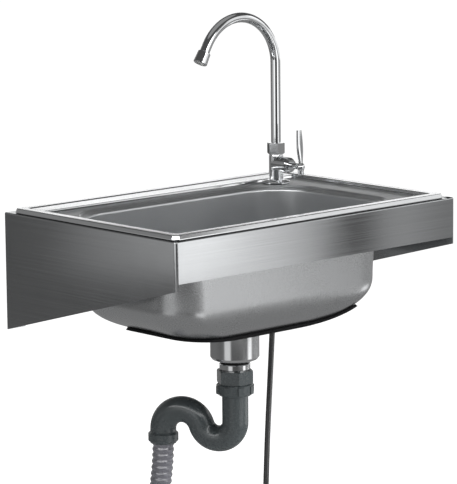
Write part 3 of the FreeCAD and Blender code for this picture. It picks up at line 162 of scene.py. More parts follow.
# Outlines along each stretch of the basin, from the rim to the drain; the foot's last ones, which lie
# almost level, give way to the floor's
RIM_FACE_RINGS = 4
RIM_EDGE_RINGS = 6
RIM_STEP_RINGS = 5
LEDGE_RINGS = 4
DECK_RINGS = 8
BEAD_RINGS = 8
LIP_RINGS = 8
WALL_RINGS = 14
FOOT_RINGS = 36
FOOT_RINGS_KEPT = 32
FLOOR_RINGS = 8
DISH_EDGE_RINGS = 4

# Share of the ledge's rise that is rounded
LEDGE_ROUND = 0.4

# The pad's edge is looked for between two turns of the foot's curve, in small steps
PAD_TURNS = (15, 80)
PAD_SEARCH = 260
PAD_RINGS = 10

# Points round a tube, and rings along the spout's three stretches and along a rib of the waste hose
TUBE_SIDES = 48
RISE_RINGS = 24
CROOK_RINGS = 72
TAIL_RINGS = 4
RINGS_PER_RIB = 10
RIB_FULLNESS = 0.6

# Roughness of the clear layer on the hoses and pipes
COAT_ROUGHNESS = 0.12


def middle(node):
    """Middle of a CAD node's box."""
    low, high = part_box(node)
    return (low + high) / 2


def length_property(label, about, metres):
    return FloatProperty(name=label, description=about, default=metres, unit="LENGTH", precision=5)


def colour_property(label, about, colour):
    return FloatVectorProperty(name=label, description=about, default=colour, subtype="COLOR",
                               size=3, min=0, max=1)


def angle_property(label, about, degrees):
    return FloatProperty(name=label, description=about, default=math.radians(degrees), subtype="ANGLE")


class BasinSizes(bpy.types.PropertyGroup):
    """Sizes of the pressed basin, inside the space that the CAD basin takes."""

    sheet: length_property("Sheet", "Thickness of the basin's sheet", 0.0008)
    rim_band: length_property("Rim band", "Width of the raised band round the rim", 0.017)
    rim_corner: length_property("Rim corner", "Radius of the rim's corners", 0.010)
    pan_corner: length_property("Pan corner", "Radius of the corners inside the rim", 0.005)
    rim_lean: angle_property("Rim lean", "How far the rim's outer face leans in", 20)
    rim_round: length_property("Rim rounding", "Radius of the rim's pressed steps", 0.0019)
    deck_drop: length_property("Deck drop", "Height of the rim above the deck", 0.0055)
    ledge_rise: length_property("Ledge rise", "Height of the raised ledge at the rear", 0.0045)
    ledge_front: length_property("Ledge front", "Where the ledge's front edge lies", -0.062)
    bowl_left: length_property("Bowl from left", "Rim's left edge to the bowl's bead", 0.027)
    bowl_right: length_property("Bowl from right", "Rim's right edge to the bowl's bead", 0.066)
    bowl_rear: length_property("Bowl from rear", "Rim's rear edge to the bowl's bead", 0.068)
    bowl_front: length_property("Bowl from front", "Rim's front edge to the bowl's bead", 0.029)
    rear_corner: length_property("Rear corner", "Radius of the bead's rear corners", 0.085)
    front_corner: length_property("Front corner", "Radius of the bead's front corners", 0.055)
    rear_foot_corner: length_property("Rear foot corner", "Rear corners' radius at the wall's foot", 0.050)
    front_foot_corner: length_property("Front foot corner", "Front corners' radius at the wall's foot", 0.056)
    bead_run: length_property("Bead run", "Width of the step at the bead", 0.002)
    bead_drop: length_property("Bead drop", "Depth of the step at the bead", 0.003)
    bead_band: length_property("Bead band", "Flat band inside the bead", 0.007)
    lip: length_property("Lip", "Radius of the bowl's lip", 0.005)
    draft: length_property("Draft", "How far the wall leans in", 0.001)
    foot_rise: length_property("Foot rise", "Height of the curve from the wall to the sump", 0.064)
    foot_fullness: FloatProperty(name="Foot fullness", default=2.27, min=1.5, max=4,
                                 description="Two makes an ellipse, more a squarer curve")
    dish_edge: length_property("Dish edge", "Rounding between the bowl's floor and the sump", 0.0025)
    sump_radius: length_property("Sump radius", "Radius of the sump round the strainer", 0.0455)
    sump_depth: length_property("Sump depth", "Depth of the sump", 0.0025)
    drain_hole: length_property("Drain hole", "Radius of the hole under the strainer's flange", 0.038)
    pad: length_property("Pad", "Thickness of the damping pad", 0.005)
    pad_bond: length_property("Pad bond", "Glue between pad and bowl", 0.0003)
    pad_margin: length_property("Pad margin", "Gap from the sump to the pad's hole", 0.0038)
    pad_left: length_property("Pad left", "Drain's axis to the pad's left edge", 0.180)
    pad_right: length_property("Pad right", "Drain's axis to the pad's right edge", 0.154)
    pad_depth: length_property("Pad depth", "Drain's axis to the pad's front and rear edges", 0.088)
    pad_flare: length_property("Pad flare", "How far the front edge runs out at its right end", 0.018)
    pad_flare_run: length_property("Pad flare run", "Length of the flared part", 0.076)
    pad_corner: length_property("Pad corner", "Radius of the pad's corners at its left", 0.080)


class HoseSizes(bpy.types.PropertyGroup):
    """Sizes of the waste hose and the supply hose."""

    drain_bore: length_property("Drain bore", "Inner radius of the waste hose", 0.0132)
    drain_root: length_property("Drain root", "Radius of the waste hose between its ribs", 0.0150)
    drain_crest: length_property("Drain crest", "Radius of the waste hose on its ribs", 0.0168)
    drain_ribs: IntProperty(name="Ribs", description="Number of ribs along the waste hose", default=41, min=8)
    drain_length: length_property("Drain length", "Length of the waste hose", 0.395)
    supply_radius: length_property("Supply radius", "Radius of the supply hose", 0.0046)
    supply_length: length_property("Supply length", "Length of the supply hose", 0.567)


class SpoutSizes(bpy.types.PropertyGroup):
    """Sizes of the gooseneck's tube."""

    tube: length_property("Tube", "Outer radius of the tube", 0.00775)
    tube_wall: length_property("Tube wall", "Thickness of the tube's wall", 0.001)
    bend: length_property("Bend", "Radius of the crook", 0.077)
    turn: angle_property("Turn", "How far the crook turns", 150)
    tail: length_property("Tail", "Straight end after the crook", 0.020)


class FinishColours(bpy.types.PropertyGroup):
    """Colours of the finishes."""

    bracket: colour_property("Bracket", "Brushed steel of the bracket", (0.55, 0.56, 0.57))
    basin: colour_property("Basin", "Satin steel of the basin", (0.70, 0.71, 0.72))
    outer: colour_property("Outside", "Steel of the bowl's outside", (0.62, 0.63, 0.64))
    # The rim's steel is lighter than the basin's as painted sheen; its lower roughness is the real polish
    rim: colour_property("Rim", "Polished steel of the rim and the ledge", (0.78, 0.79, 0.80))
    chrome: colour_property("Chrome", "Plating of the tap and the waste neck", (0.80, 0.81, 0.82))
    brass: colour_property("Brass", "Turned brass under the deck", (0.60, 0.44, 0.20))
    pipe: colour_property("Pipe", "Grey plastic of the trap", (0.075, 0.088, 0.092))
    drain: colour_property("Waste hose", "Soft plastic of the waste hose", (0.19, 0.19, 0.22))
    supply: colour_property("Supply hose", "Sleeve of the supply hose", (0.020, 0.020, 0.022))
    rubber: colour_property("Rubber", "Seals and pad", (0.008, 0.008, 0.009))
    white: colour_property("White plastic", "Aerator and slip ring", (0.78, 0.78, 0.76))
    screw: colour_property("Screw", "Blackened steel of the grub screw", (0.10, 0.10, 0.105))
    floor: colour_property("Floor", "Floor under the sink", (0.86, 0.86, 0.86))


# Shader node groups that the finishes share


def new_group(name, inputs, outputs):
    """Empty shader node group with its sockets."""
    group = bpy.data.node_groups.new(name, "ShaderNodeTree")
    for label, kind, value in inputs:
        socket = group.interface.new_socket(label, in_out="INPUT", socket_type=kind)
        socket.default_value = value
    for label, kind in outputs:
        group.interface.new_socket(label, in_out="OUTPUT", socket_type=kind)
    return group, group.nodes.new("NodeGroupInput"), group.nodes.new("NodeGroupOutput")


def grain_group():
    """Streaks or specks: noise in the object's own space, drawn out along an axis."""
    group, given, result = new_group(
        "SurfaceGrain",
        [("Stretch", "NodeSocketVector", (1, 1, 1)), ("Scale", "NodeSocketFloat", 100),
         ("Detail", "NodeSocketFloat", 4)],
        [("Tone", "NodeSocketFloat"), ("Height", "NodeSocketFloat")])
    place = group.nodes.new("ShaderNodeTexCoord")
    stretch = group.nodes.new("ShaderNodeVectorMath")
    stretch.operation = "MULTIPLY"
    noise = group.nodes.new("ShaderNodeTexNoise")
    spread = group.nodes.new("ShaderNodeMapRange")
    spread.inputs["From Min"].default_value = 0.3
    spread.inputs["From Max"].default_value = 0.7
    link = group.links.new
    link(place.outputs["Object"], stretch.inputs[0])
    link(given.outputs["Stretch"], stretch.inputs[1])
    link(stretch.outputs["Vector"], noise.inputs["Vector"])
    link(given.outputs["Scale"], noise.inputs["Scale"])
    link(given.outputs["Detail"], noise.inputs["Detail"])
    link(noise.outputs["Fac"], spread.inputs["Value"])
    link(spread.outputs["Result"], result.inputs["Tone"])
    link(noise.outputs["Fac"], result.inputs["Height"])
    return group


def smudge_group():
    """Large soft patches, as from wiping, that change the gloss."""
    group, given, result = new_group(
        "WipedPatches",
        [("Scale", "NodeSocketFloat", 9), ("Low", "NodeSocketFloat", 0.2), ("High", "NodeSocketFloat", 0.3),
         ("Grain", "NodeSocketFloat", 0.5)],
        [("Roughness", "NodeSocketFloat")])
    place = group.nodes.new("ShaderNodeTexCoord")
    noise = group.nodes.new("ShaderNodeTexNoise")
    noise.inputs["Detail"].default_value = 3
    noise.inputs["Distortion"].default_value = 0.6
    blend = group.nodes.new("ShaderNodeMath")
    blend.operation = "MULTIPLY_ADD"
    blend.inputs[1].default_value = 0.4
    spread = group.nodes.new("ShaderNodeMapRange")
    spread.inputs["From Min"].default_value = 0.3
    spread.inputs["From Max"].default_value = 1.0
    link = group.links.new
    link(place.outputs["Object"], noise.inputs["Vector"])
    link(given.outputs["Scale"], noise.inputs["Scale"])
    link(given.outputs["Grain"], blend.inputs[0])
    link(noise.outputs["Fac"], blend.inputs[2])
    link(blend.outputs["Value"], spread.inputs["Value"])
    link(given.outputs["Low"], spread.inputs["To Min"])
    link(given.outputs["High"], spread.inputs["To Max"])
    link(spread.outputs["Result"], result.inputs["Roughness"])
    return group


def shared_group(name, make):
    """A group that is made once and then found by its name."""
    return bpy.data.node_groups.get(name) or make()


def finish(name, colour, shade, scale, rough, bump, stretch=(1, 1, 1), metallic=0.0, coat=0.0, gloss=0.5):
    """One finish: grain mixes the colour with a darker shade and drives gloss and bump.

    rough is the least and the most roughness, bump the strength and the depth of the grain's relief.
    """
    found = bpy.data.materials.get(name)
    if found:
        return found
    material = bpy.data.materials.new(name)
    material.use_nodes = True
    tree = material.node_tree
    surface = tree.nodes["Principled BSDF"]
    surface.inputs["Metallic"].default_value = metallic
    surface.inputs["Coat Weight"].default_value = coat
    surface.inputs["Coat Roughness"].default_value = COAT_ROUGHNESS
    surface.inputs["Specular IOR Level"].default_value = gloss
    grain = tree.nodes.new("ShaderNodeGroup")
    grain.node_tree = shared_group("SurfaceGrain", grain_group)
    grain.inputs["Stretch"].default_value = stretch
    grain.inputs["Scale"].default_value = scale
    patches = tree.nodes.new("ShaderNodeGroup")
    patches.node_tree = shared_group("WipedPatches", smudge_group)
    patches.inputs["Low"].default_value = rough[0]
    patches.inputs["High"].default_value = rough[1]
    tint = tree.nodes.new("ShaderNodeMix")
    tint.data_type = "RGBA"
    tint.inputs["A"].default_value = (*[c * shade for c in colour], 1)
    tint.inputs["B"].default_value = (*colour, 1)
    relief = tree.nodes.new("ShaderNodeBump")
    relief.inputs["Strength"].default_value = bump[0]
    relief.inputs["Distance"].default_value = bump[1]
    link = tree.links.new
    link(grain.outputs["Tone"], tint.inputs["Factor"])
    link(grain.outputs["Tone"], patches.inputs["Grain"])
    link(tint.outputs["Result"], surface.inputs["Base Color"])
    link(patches.outputs["Roughness"], surface.inputs["Roughness"])
    link(grain.outputs["Height"], relief.inputs["Height"])
    link(relief.outputs["Normal"], surface.inputs["Normal"])
    return material


def brushed_steel(colours):
    return finish("BrushedSteel", colours.bracket, shade=0.90, scale=1.0, rough=(0.10, 0.16),
                  bump=(0.04, 0.0002), stretch=(3, 3, 900), metallic=1.0)


def satin_steel(colours):
    return finish("SatinSteel", colours.basin, shade=0.94, scale=1400, rough=(0.30, 0.37),
                  bump=(0.03, 0.0002), metallic=1.0)


def outer_steel(colours):
    return finish("OuterSteel", colours.outer, shade=0.94, scale=1400, rough=(0.24, 0.30),
                  bump=(0.01, 0.0002), metallic=1.0)


# Polished steel: lighter in colour than the satin steel as painted sheen, and less rough from the real polish
def polished_steel_painted_sheen(colours):
    return finish("PolishedSteelPaintedSheen", colours.rim, shade=0.96, scale=900, rough=(0.08, 0.14),
                  bump=(0.001, 0.0002), metallic=1.0)


def plating(colours):
    return finish("Plating", colours.chrome, shade=0.97, scale=60, rough=(0.05, 0.10),
                  bump=(0.001, 0.0002), metallic=1.0)


def turned_brass(colours):
    return finish("TurnedBrass", colours.brass, shade=0.85, scale=1.0, rough=(0.25, 0.4),
                  bump=(0.06, 0.0002), stretch=(40, 40, 1500), metallic=1.0)


def moulded_pipe(colours):
    return finish("MouldedPipe", colours.pipe, shade=0.95, scale=260, rough=(0.22, 0.30),
                  bump=(0.015, 0.0003), coat=0.2)


def soft_hose(colours):
    return finish("SoftHose", colours.drain, shade=0.90, scale=180, rough=(0.20, 0.28),
                  bump=(0.04, 0.0004), coat=1.0, gloss=1.0)


def sleeve_hose(colours):
    return finish("SleeveHose", colours.supply, shade=0.75, scale=500, rough=(0.16, 0.24),
                  bump=(0.02, 0.0003), coat=1.0, gloss=1.0)


def black_rubber(colours):
    return finish("BlackRubber", colours.rubber, shade=0.70, scale=420, rough=(0.60, 0.80),
                  bump=(0.15, 0.0004), gloss=0.2)


def black_plastic(colours):
    return finish("BlackPlastic", colours.rubber, shade=0.80, scale=300, rough=(0.38, 0.50),
                  bump=(0.06, 0.0003))


def white_plastic(colours):
    return finish("WhitePlastic", colours.white, shade=0.95, scale=240, rough=(0.35, 0.45),
                  bump=(0.04, 0.0003))


def black_steel(colours):
    return finish("BlackSteel", colours.screw, shade=0.80, scale=600, rough=(0.35, 0.5),
                  bump=(0.06, 0.0002), metallic=1.0)


# Meshes


def dress(node, material):
    """Gives a CAD node its finish."""
    piece = NODES[node]
    piece.data.materials.clear()
    piece.data.materials.append(material)


def in_scene(name, data):
    """New object in the scene."""
    made = bpy.data.objects.new(name, data)
    bpy.context.scene.collection.objects.link(made)
    return made


def mesh_from(name, bm):
    """Mesh of a finished bmesh, which is freed."""
    mesh = bpy.data.meshes.new(name)
    bm.to_mesh(mesh)
    bm.free()
    return mesh


def piece_from(name, bm, material):
    """Smooth piece of the sink, with a slot for its finish."""
    mesh = mesh_from(name, bm)
    piece = in_scene(name, mesh)
    mesh.materials.append(material)
    mesh.polygons.foreach_set("use_smooth", [True] * len(mesh.polygons))
    return piece


def rounded_outline(x0, x1, y0, y1, rear, front, z):
    """Points round a rectangle with rounded corners, y0 at the rear."""
    corners = ((x1, y0, rear), (x1, y1, front), (x0, y1, front), (x0, y0, rear))
    arcs = []
    for k, (x, y, r) in enumerate(corners):
        cx = x - r if x == x1 else x + r
        cy = y - r if y == y0 else y + r
        turns = [math.radians(90 - 90 * k - 90 * j / ARC_STEPS) for j in range(ARC_STEPS + 1)]
        arcs.append([Vector((cx + r * math.cos(a), cy + r * math.sin(a), z)) for a in turns])
    points = []
    for k in range(4):
        start, end = arcs[k][-1], arcs[(k + 1) % 4][0]
        points += arcs[k] + [start.lerp(end, j / SIDE_STEPS) for j in range(1, SIDE_STEPS)]
    return points


def round_outline(centre, radius, z):
    """Circle with as many points as a rounded outline, its eighths facing the corners and sides."""
    points = []
    for k in range(4):
        first = 67.5 - 90 * k
        turns = [first - 45 * j / ARC_STEPS for j in range(ARC_STEPS + 1)]
        turns += [first - 45 - 45 * j / SIDE_STEPS for j in range(1, SIDE_STEPS)]
        for degrees in turns:
            a = math.radians(degrees)
            points.append(Vector((centre.x + radius * math.cos(a), centre.y + radius * math.sin(a), z)))
    return points


def even(share):
    """Steady pace."""
    return share


def eased(share):
    """Slow at both ends."""
    return (1 - math.cos(math.pi * share)) / 2


def levelling(share):
    """Slow at the end."""
    return 1 - (1 - share) ** 2


def between(first, last, steps, plan=even, height=even):
    """Outlines from first to last, both left out, each with its own pace in plan and in height."""
    made = []
    for k in range(1, steps):
        ring = [p.lerp(q, plan(k / steps)) for p, q in zip(first, last)]
        for point, p, q in zip(ring, first, last):
            point.z = p.z + (q.z - p.z) * height(k / steps)
        made.append(ring)
    return made


def skin(rings, closed=False):
    """Mesh through outlines that all have as many points."""
    bm = bmesh.new()
    rows = [[bm.verts.new(p) for p in ring] for ring in rings]
    if closed:
        rows.append(rows[0])
    for upper, lower in zip(rows, rows[1:]):
        for k in range(len(upper)):
            j = (k + 1) % len(upper)
            bm.faces.new((upper[k], lower[k], lower[j], upper[j]))
    return bm


def quarter(steps):
    """Turns from 0 to 90 degrees, in radians."""
    return [math.radians(90 * k / steps) for k in range(steps + 1)]


def mix(first, last, share):
    """Value part of the way from first to last."""
    return first + (last - first) * share


class BasinShape:
    """Outlines of the basin, from its sizes and the CAD basin's box."""

    def __init__(self, sizes):
        self.s = sizes
        self.low, self.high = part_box("sink_basin")
        self.deck = self.high.z - sizes.deck_drop
        self.sump = self.low.z + sizes.sheet
        self.dish = self.sump + sizes.sump_depth
        self.wall_inset = sizes.bead_run + sizes.bead_band + sizes.lip + sizes.draft
        self.drain = middle("strainer_body")
        self.circle = sizes.sump_radius + sizes.dish_edge
        depth = self.high.y - self.low.y - sizes.bowl_rear - sizes.bowl_front
        self.reach = depth / 2 - self.wall_inset - self.circle

    def rim(self, inset, z):
        radius = max(self.s.rim_corner - inset, self.s.pan_corner)
        return rounded_outline(self.low.x + inset, self.high.x - inset,
                               self.high.y - inset, self.low.y + inset, radius, radius, z)

    def section(self, inset, share, rear, front, z):
        """Outline inside the bead, part of the way to the circle round the sump."""
        s, c, r = self.s, self.drain, self.circle
        return rounded_outline(mix(self.low.x + s.bowl_left + inset, c.x - r, share),
                               mix(self.high.x - s.bowl_right - inset, c.x + r, share),
                               mix(self.high.y - s.bowl_rear - inset, c.y + r, share),
                               mix(self.low.y + s.bowl_front + inset, c.y - r, share), rear, front, z)

    def bowl(self, inset, z):
        return self.section(inset, 0, self.s.rear_corner - inset, self.s.front_corner - inset, z)

    def foot(self, turn, away=0.0):
        """Outline on the curve from the wall to the sump, moved out from its surface."""
        s = self.s
        power = 2 / s.foot_fullness
        across, along = math.cos(turn), math.sin(turn)
        share = 1 - across ** power
        z = self.dish + s.foot_rise * (1 - along ** power)
        slope = Vector((s.foot_rise * across ** (2 - power), self.reach * along ** (2 - power)))
        out, down = slope.normalized() * away
        rear = mix(s.rear_foot_corner, self.circle, share) + out
        front = mix(s.front_foot_corner, self.circle, share) + out
        return self.section(self.wall_inset - out / (1 - share), share, rear, front, z - down)


def rim_rings(shape):
    """Outlines over the rim's raised band, from its lower edge to the deck."""
    s = shape.s
    r = s.rim_round
    top = shape.high.z
    start = top - r * (1 - math.sin(s.rim_lean))
    run = (start - RIM_FOOT) * math.tan(s.rim_lean)
    shares = [k / RIM_FACE_RINGS for k in range(RIM_FACE_RINGS)]
    rings = [shape.rim(run * share, mix(RIM_FOOT, start, share)) for share in shares]
    for k in range(RIM_EDGE_RINGS + 1):
        a = mix(s.rim_lean, math.pi / 2, k / RIM_EDGE_RINGS)
        rings.append(shape.rim(run + r * (math.cos(s.rim_lean) - math.cos(a)), top - r * (1 - math.sin(a))))
    rings.append(shape.rim(s.rim_band / 2, top))
    turns = quarter(RIM_STEP_RINGS)
    rings += [shape.rim(s.rim_band - r + r * math.sin(a), top - r * (1 - math.cos(a))) for a in turns]
    foot = shape.deck
    rings += [shape.rim(s.rim_band + r * (1 - math.cos(a)), foot + r * (1 - math.sin(a))) for a in turns]
    return rings


def pan_rings(shape, edge):
    """Outlines from the rim's inner edge over deck, bead and bowl to the drain hole."""
    s = shape.s
    half = s.bead_run / 2
    bead = shape.bowl(-half, shape.deck)
    rings = between(edge, bead, DECK_RINGS) + [bead]
    for k in range(1, BEAD_RINGS + 1):
        share = k / BEAD_RINGS
        rings.append(shape.bowl(-half + 2 * s.bead_run * share, shape.deck - s.bead_drop * eased(share)))
    level = shape.deck - s.bead_drop
    flat = s.bead_run + s.bead_band
    for a in quarter(LIP_RINGS):
        rings.append(shape.bowl(flat + s.lip * math.sin(a), level - s.lip * (1 - math.cos(a))))
    rings += between(rings[-1], shape.foot(0), WALL_RINGS, plan=eased)
    rings += [shape.foot(a) for a in quarter(FOOT_RINGS)[:FOOT_RINGS_KEPT]]
    circle = round_outline(shape.drain, shape.circle, shape.dish)
    rings += between(rings[-1], circle, FLOOR_RINGS, height=levelling) + [circle]
    for a in quarter(DISH_EDGE_RINGS)[1:]:
        radius = shape.circle - s.dish_edge * math.sin(a)
        rings.append(round_outline(shape.drain, radius, shape.dish - s.dish_edge * (1 - math.cos(a))))
    rings.append(round_outline(shape.drain, s.drain_hole, shape.sump))
    return rings


def evaluated_mesh(piece):
    """New mesh of a piece as it stands, with its modifiers applied."""
    bpy.context.view_layer.update()
    return bpy.data.meshes.new_from_object(piece.evaluated_get(bpy.context.evaluated_depsgraph_get()))


def apply_modifiers(piece):
    """Makes a piece's modifiers part of its mesh."""
    mesh = evaluated_mesh(piece)
    piece.modifiers.clear()
    piece.data = mesh


def make_basin(sizes, colours):
    """The pressed sheet: polished and painted lighter on the rim as painted sheen, satin inside, plainer on
    the bowl's outside.
    """
    shape = BasinShape(sizes)
    rim = rim_rings(shape)
    bm = skin(rim + pan_rings(shape, rim[-1]))
    for face in list(bm.faces)[:(len(rim) - 1) * len(rim[0])]:
        face.material_index = 1
    piece = piece_from("pressed_basin", bm, satin_steel(colours))
    upper = [polished_steel_painted_sheen(colours)]
    under = [outer_steel(colours), polished_steel_painted_sheen(colours)]
    for material in upper + under:
        piece.data.materials.append(material)
    sheet = piece.modifiers.new("sheet", "SOLIDIFY")
    sheet.thickness = sizes.sheet
    sheet.offset = -1
    sheet.material_offset = len(under)
    piece.modifiers.new("flats", "WEIGHTED_NORMAL")
    apply_modifiers(piece)
    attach(piece, ROOT)
    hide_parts("sink_basin")
    make_ledge(shape, colours)


def make_ledge(shape, colours):
    """The raised strip along the deck's rear, with pressed edges, in the rim's lighter steel that holds
    painted sheen.
    """
    s = shape.s
    inset = s.rim_band
    low = Vector((shape.low.x + inset, s.ledge_front, shape.deck))
    high = Vector((shape.high.x - inset, shape.high.y - inset, shape.deck + s.ledge_rise))
    r = s.ledge_rise * LEDGE_ROUND

    def level(grow, z):
        return rounded_outline(low.x - grow, high.x + grow, high.y + grow, low.y - grow,
                               s.pan_corner, s.pan_corner, z)

    rings = [level(r, shape.deck)]
    for a in reversed(quarter(LEDGE_RINGS)):
        rings.append(level(r * (1 - math.sin(a)), high.z - r * (1 - math.cos(a))))
    bm = skin(rings)
    bm.verts.ensure_lookup_table()
    count = len(rings[0])
    bm.faces.new([bm.verts[len(bm.verts) - count + k] for k in range(count)])
    bmesh.ops.recalc_face_normals(bm, faces=bm.faces)
    piece = piece_from("deck_ledge", bm, polished_steel_painted_sheen(colours))
    piece.modifiers.new("flats", "WEIGHTED_NORMAL")
    apply_modifiers(piece)
    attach(piece, ROOT)


def on_pad(point, drain, sizes):
    """Whether a point of the bowl is under the pad's outline in plan."""
    x, y = point.x - drain.x, point.y - drain.y
    flare = min(max((x - sizes.pad_right) / sizes.pad_flare_run + 1, 0), 1) * sizes.pad_flare
    past_x = max(sizes.pad_corner - sizes.pad_left - x, 0)
    past_y = max(abs(y) - sizes.pad_depth + sizes.pad_corner, 0)
    if past_x and past_y:
        return math.hypot(past_x, past_y) <= sizes.pad_corner
    return -sizes.pad_left <= x <= sizes.pad_right and -sizes.pad_depth - flare <= y <= sizes.pad_depth


def pad_face(shape, firsts, turns, away):
    """Outlines over one face of the pad, from its edge to the hole round the sump."""
    outlines = [shape.foot(a, away) for a in turns]
    last = len(outlines) - 1
    rings = []
    for k in range(PAD_RINGS + 1):
        places = [round(mix(first, last, k / PAD_RINGS)) for first in firsts]
        rings.append([outlines[place][j] for j, place in enumerate(places)])
    end = round_outline(shape.drain, shape.s.sump_radius + shape.s.pad_margin, shape.dish - away)
    return rings + between(rings[-1], end, FLOOR_RINGS, height=levelling) + [end]


def make_pad(sizes, colours):
    """Rubber sheet that follows the bowl's underside round the sump."""
    shape = BasinShape(sizes)
    near = sizes.sheet + sizes.pad_bond
    turns = [math.radians(mix(*PAD_TURNS, k / PAD_SEARCH)) for k in range(PAD_SEARCH + 1)]
    outlines = [shape.foot(a, near) for a in turns]
    firsts = []
    for j in range(len(outlines[0])):
        firsts.append(next(k for k, ring in enumerate(outlines) if on_pad(ring[j], shape.drain, sizes)))
    lower = pad_face(shape, firsts, turns, near + sizes.pad)
    upper = pad_face(shape, firsts, turns, near)
    bm = skin(lower + upper[::-1], closed=True)
    bmesh.ops.recalc_face_normals(bm, faces=bm.faces)
    piece = piece_from("damping_pad", bm, black_rubber(colours))
    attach(piece, ROOT)
    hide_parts("sound_pad")


# Hoses


def route_curve(name, start, route):
    """Smooth curve whose control points are the route's points."""
    curve = bpy.data.curves.new(name, "CURVE")
    curve.dimensions = "3D"
    spline = curve.splines.new("NURBS")
    spline.points.add(len(route) - 1)
    for point, offset in zip(spline.points, route):
        point.co = (*(start + Vector(offset)), 1)
    spline.order_u = 3
    spline.use_endpoint_u = True
    spline.resolution_u = 16
    return in_scene(name, curve)


def route_points(start, route):
    """Points read from the route's smooth curve."""
    piece = route_curve("route", start, route)
    mesh = evaluated_mesh(piece)
    points = [v.co.copy() for v in mesh.vertices]
    bpy.data.meshes.remove(mesh)
    curve = piece.data
    bpy.data.objects.remove(piece)
    bpy.data.curves.remove(curve)
    return points


def along_path(points, distance):
    """Point and direction at a distance along a line of points."""
    for p, q in zip(points, points[1:]):
        length = (q - p).length
        if distance <= length:
            return p.lerp(q, distance / length), (q - p).normalized()
        distance -= length
    return points[-1], (points[-1] - points[-2]).normalized()


def rib_radius(sizes, phase):
    """Rounded rib: a broad crest with a narrow groove on each side."""
    swell = (1 - math.cos(2 * math.pi * phase)) / 2
    return mix(sizes.drain_root, sizes.drain_crest, swell ** RIB_FULLNESS)


def tube_ring(point, along, radius):
    """Circle square to a tube's direction."""
    side = (Vector((0, 1, 0)) - along * along.y).normalized()
    other = along.cross(side)
    turns = [2 * math.pi * k / TUBE_SIDES for k in range(TUBE_SIDES)]
    return [point + (side * math.cos(a) + other * math.sin(a)) * radius for a in turns]


def make_spout(sizes, colours):
    """The gooseneck's tube: a straight rise, a crook and a short tail."""
    axis = middle("spout_ring")
    low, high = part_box("spout_tube")
    centre = Vector((axis.x - sizes.bend, axis.y, high.z - sizes.bend - sizes.tube))
    path = [Vector((axis.x, axis.y, mix(low.z, centre.z, k / RISE_RINGS))) for k in range(RISE_RINGS)]
    for k in range(CROOK_RINGS + 1):
        a = sizes.turn * k / CROOK_RINGS
        path.append(centre + Vector((math.cos(a), 0, math.sin(a))) * sizes.bend)
    tail = Vector((-math.sin(sizes.turn), 0, math.cos(sizes.turn)))
    path += [path[-1] + tail * sizes.tail * k / TAIL_RINGS for k in range(1, TAIL_RINGS + 1)]
    ways = [(q - p).normalized() for p, q in zip([path[0]] + path, path[1:] + [path[-1] + tail])]
    outer = [tube_ring(p, way, sizes.tube) for p, way in zip(path, ways)]
    inner = [tube_ring(p, way, sizes.tube - sizes.tube_wall) for p, way in zip(path, ways)]
    bm = skin(outer + inner[::-1], closed=True)
    bmesh.ops.recalc_face_normals(bm, faces=bm.faces)
    piece = piece_from("spout_pipe", bm, plating(colours))
    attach(piece, "spout")
    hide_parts("spout_tube")


def make_drain_hose(sizes, colours):
    """Ribbed waste hose with its bore, from the trap's socket down."""
    seal = middle("hose_seal")
    mouth = Vector((seal.x, seal.y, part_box("hose_seal")[0].z))
    points = route_points(mouth, DRAIN_ROUTE)
    total = sum((q - p).length for p, q in zip(points, points[1:]))
    count = sizes.drain_ribs * RINGS_PER_RIB
    outer = []
    inner = []
    for k in range(count + 1):
        point, along = along_path(points, total * k / count)
        outer.append(tube_ring(point, along, rib_radius(sizes, k / RINGS_PER_RIB)))
        if k % RINGS_PER_RIB == 0:
            inner.append(tube_ring(point, along, sizes.drain_bore))
    bm = skin(outer + inner[::-1], closed=True)
    bmesh.ops.recalc_face_normals(bm, faces=bm.faces)
    piece = piece_from("ribbed_drain_hose", bm, soft_hose(colours))
    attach(piece, ROOT)
    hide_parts("drain_hose")


def make_supply_hose(sizes, colours):
    """Smooth supply hose, from the tap's union down."""
    sleeve = middle("supply_sleeve")
    start = Vector((sleeve.x, sleeve.y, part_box("supply_sleeve")[1].z))
    piece = route_curve("supply_sleeve_hose", start, SUPPLY_ROUTE)
    piece.data.bevel_depth = sizes.supply_radius
    piece.data.bevel_resolution = 8
    piece.data.use_fill_caps = True
    piece.data.materials.append(sleeve_hose(colours))
    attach(piece, ROOT)
    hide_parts("supply_tube")


# Camera, lamps and floor


def make_camera():
    """The photograph's camera: found from the sink's edges, in the sink's own frame."""
    a, e = CAMERA_AZIMUTH, CAMERA_ELEVATION
    back = Vector((math.sin(a) * math.cos(e), -math.cos(a) * math.cos(e), math.sin(e)))
    right = Vector((0, 0, 1)).cross(back).normalized()
    up = back.cross(right)
    c, s = math.cos(CAMERA_ROLL), math.sin(CAMERA_ROLL)
    rows = Matrix((right * c + up * s, up * c - right * s, back))
    longest = max(IMAGE_WIDTH, IMAGE_HEIGHT)
    data = bpy.data.cameras.new("camera")
    data.sensor_width = SENSOR_MM
    data.lens = FOCAL_PIXELS * SENSOR_MM / longest
    data.shift_x = (IMAGE_WIDTH / 2 - AXIS_PIXEL[0]) / longest
    data.shift_y = (AXIS_PIXEL[1] - IMAGE_HEIGHT / 2) / longest
    data.clip_end = VIEW_END
    camera = in_scene("camera", data)
    turned = rows.transposed()
    camera.matrix_world = Matrix.Translation(turned @ Vector(CAMERA_OFFSET)) @ turned.to_4x4()
    bpy.context.scene.camera = camera


def seen_mask(tree):
    """One for rays that show the background: straight to the camera, or by gloss or glass."""
    path = tree.nodes.new("ShaderNodeLightPath")
    mask = path.outputs["Is Camera Ray"]
    for ray in ("Is Glossy Ray", "Is Transmission Ray"):
        larger = tree.nodes.new("ShaderNodeMath")
        larger.operation = "MAXIMUM"
        tree.links.new(mask, larger.inputs[0])
        tree.links.new(path.outputs[ray], larger.inputs[1])
        mask = larger.outputs["Value"]
    return mask


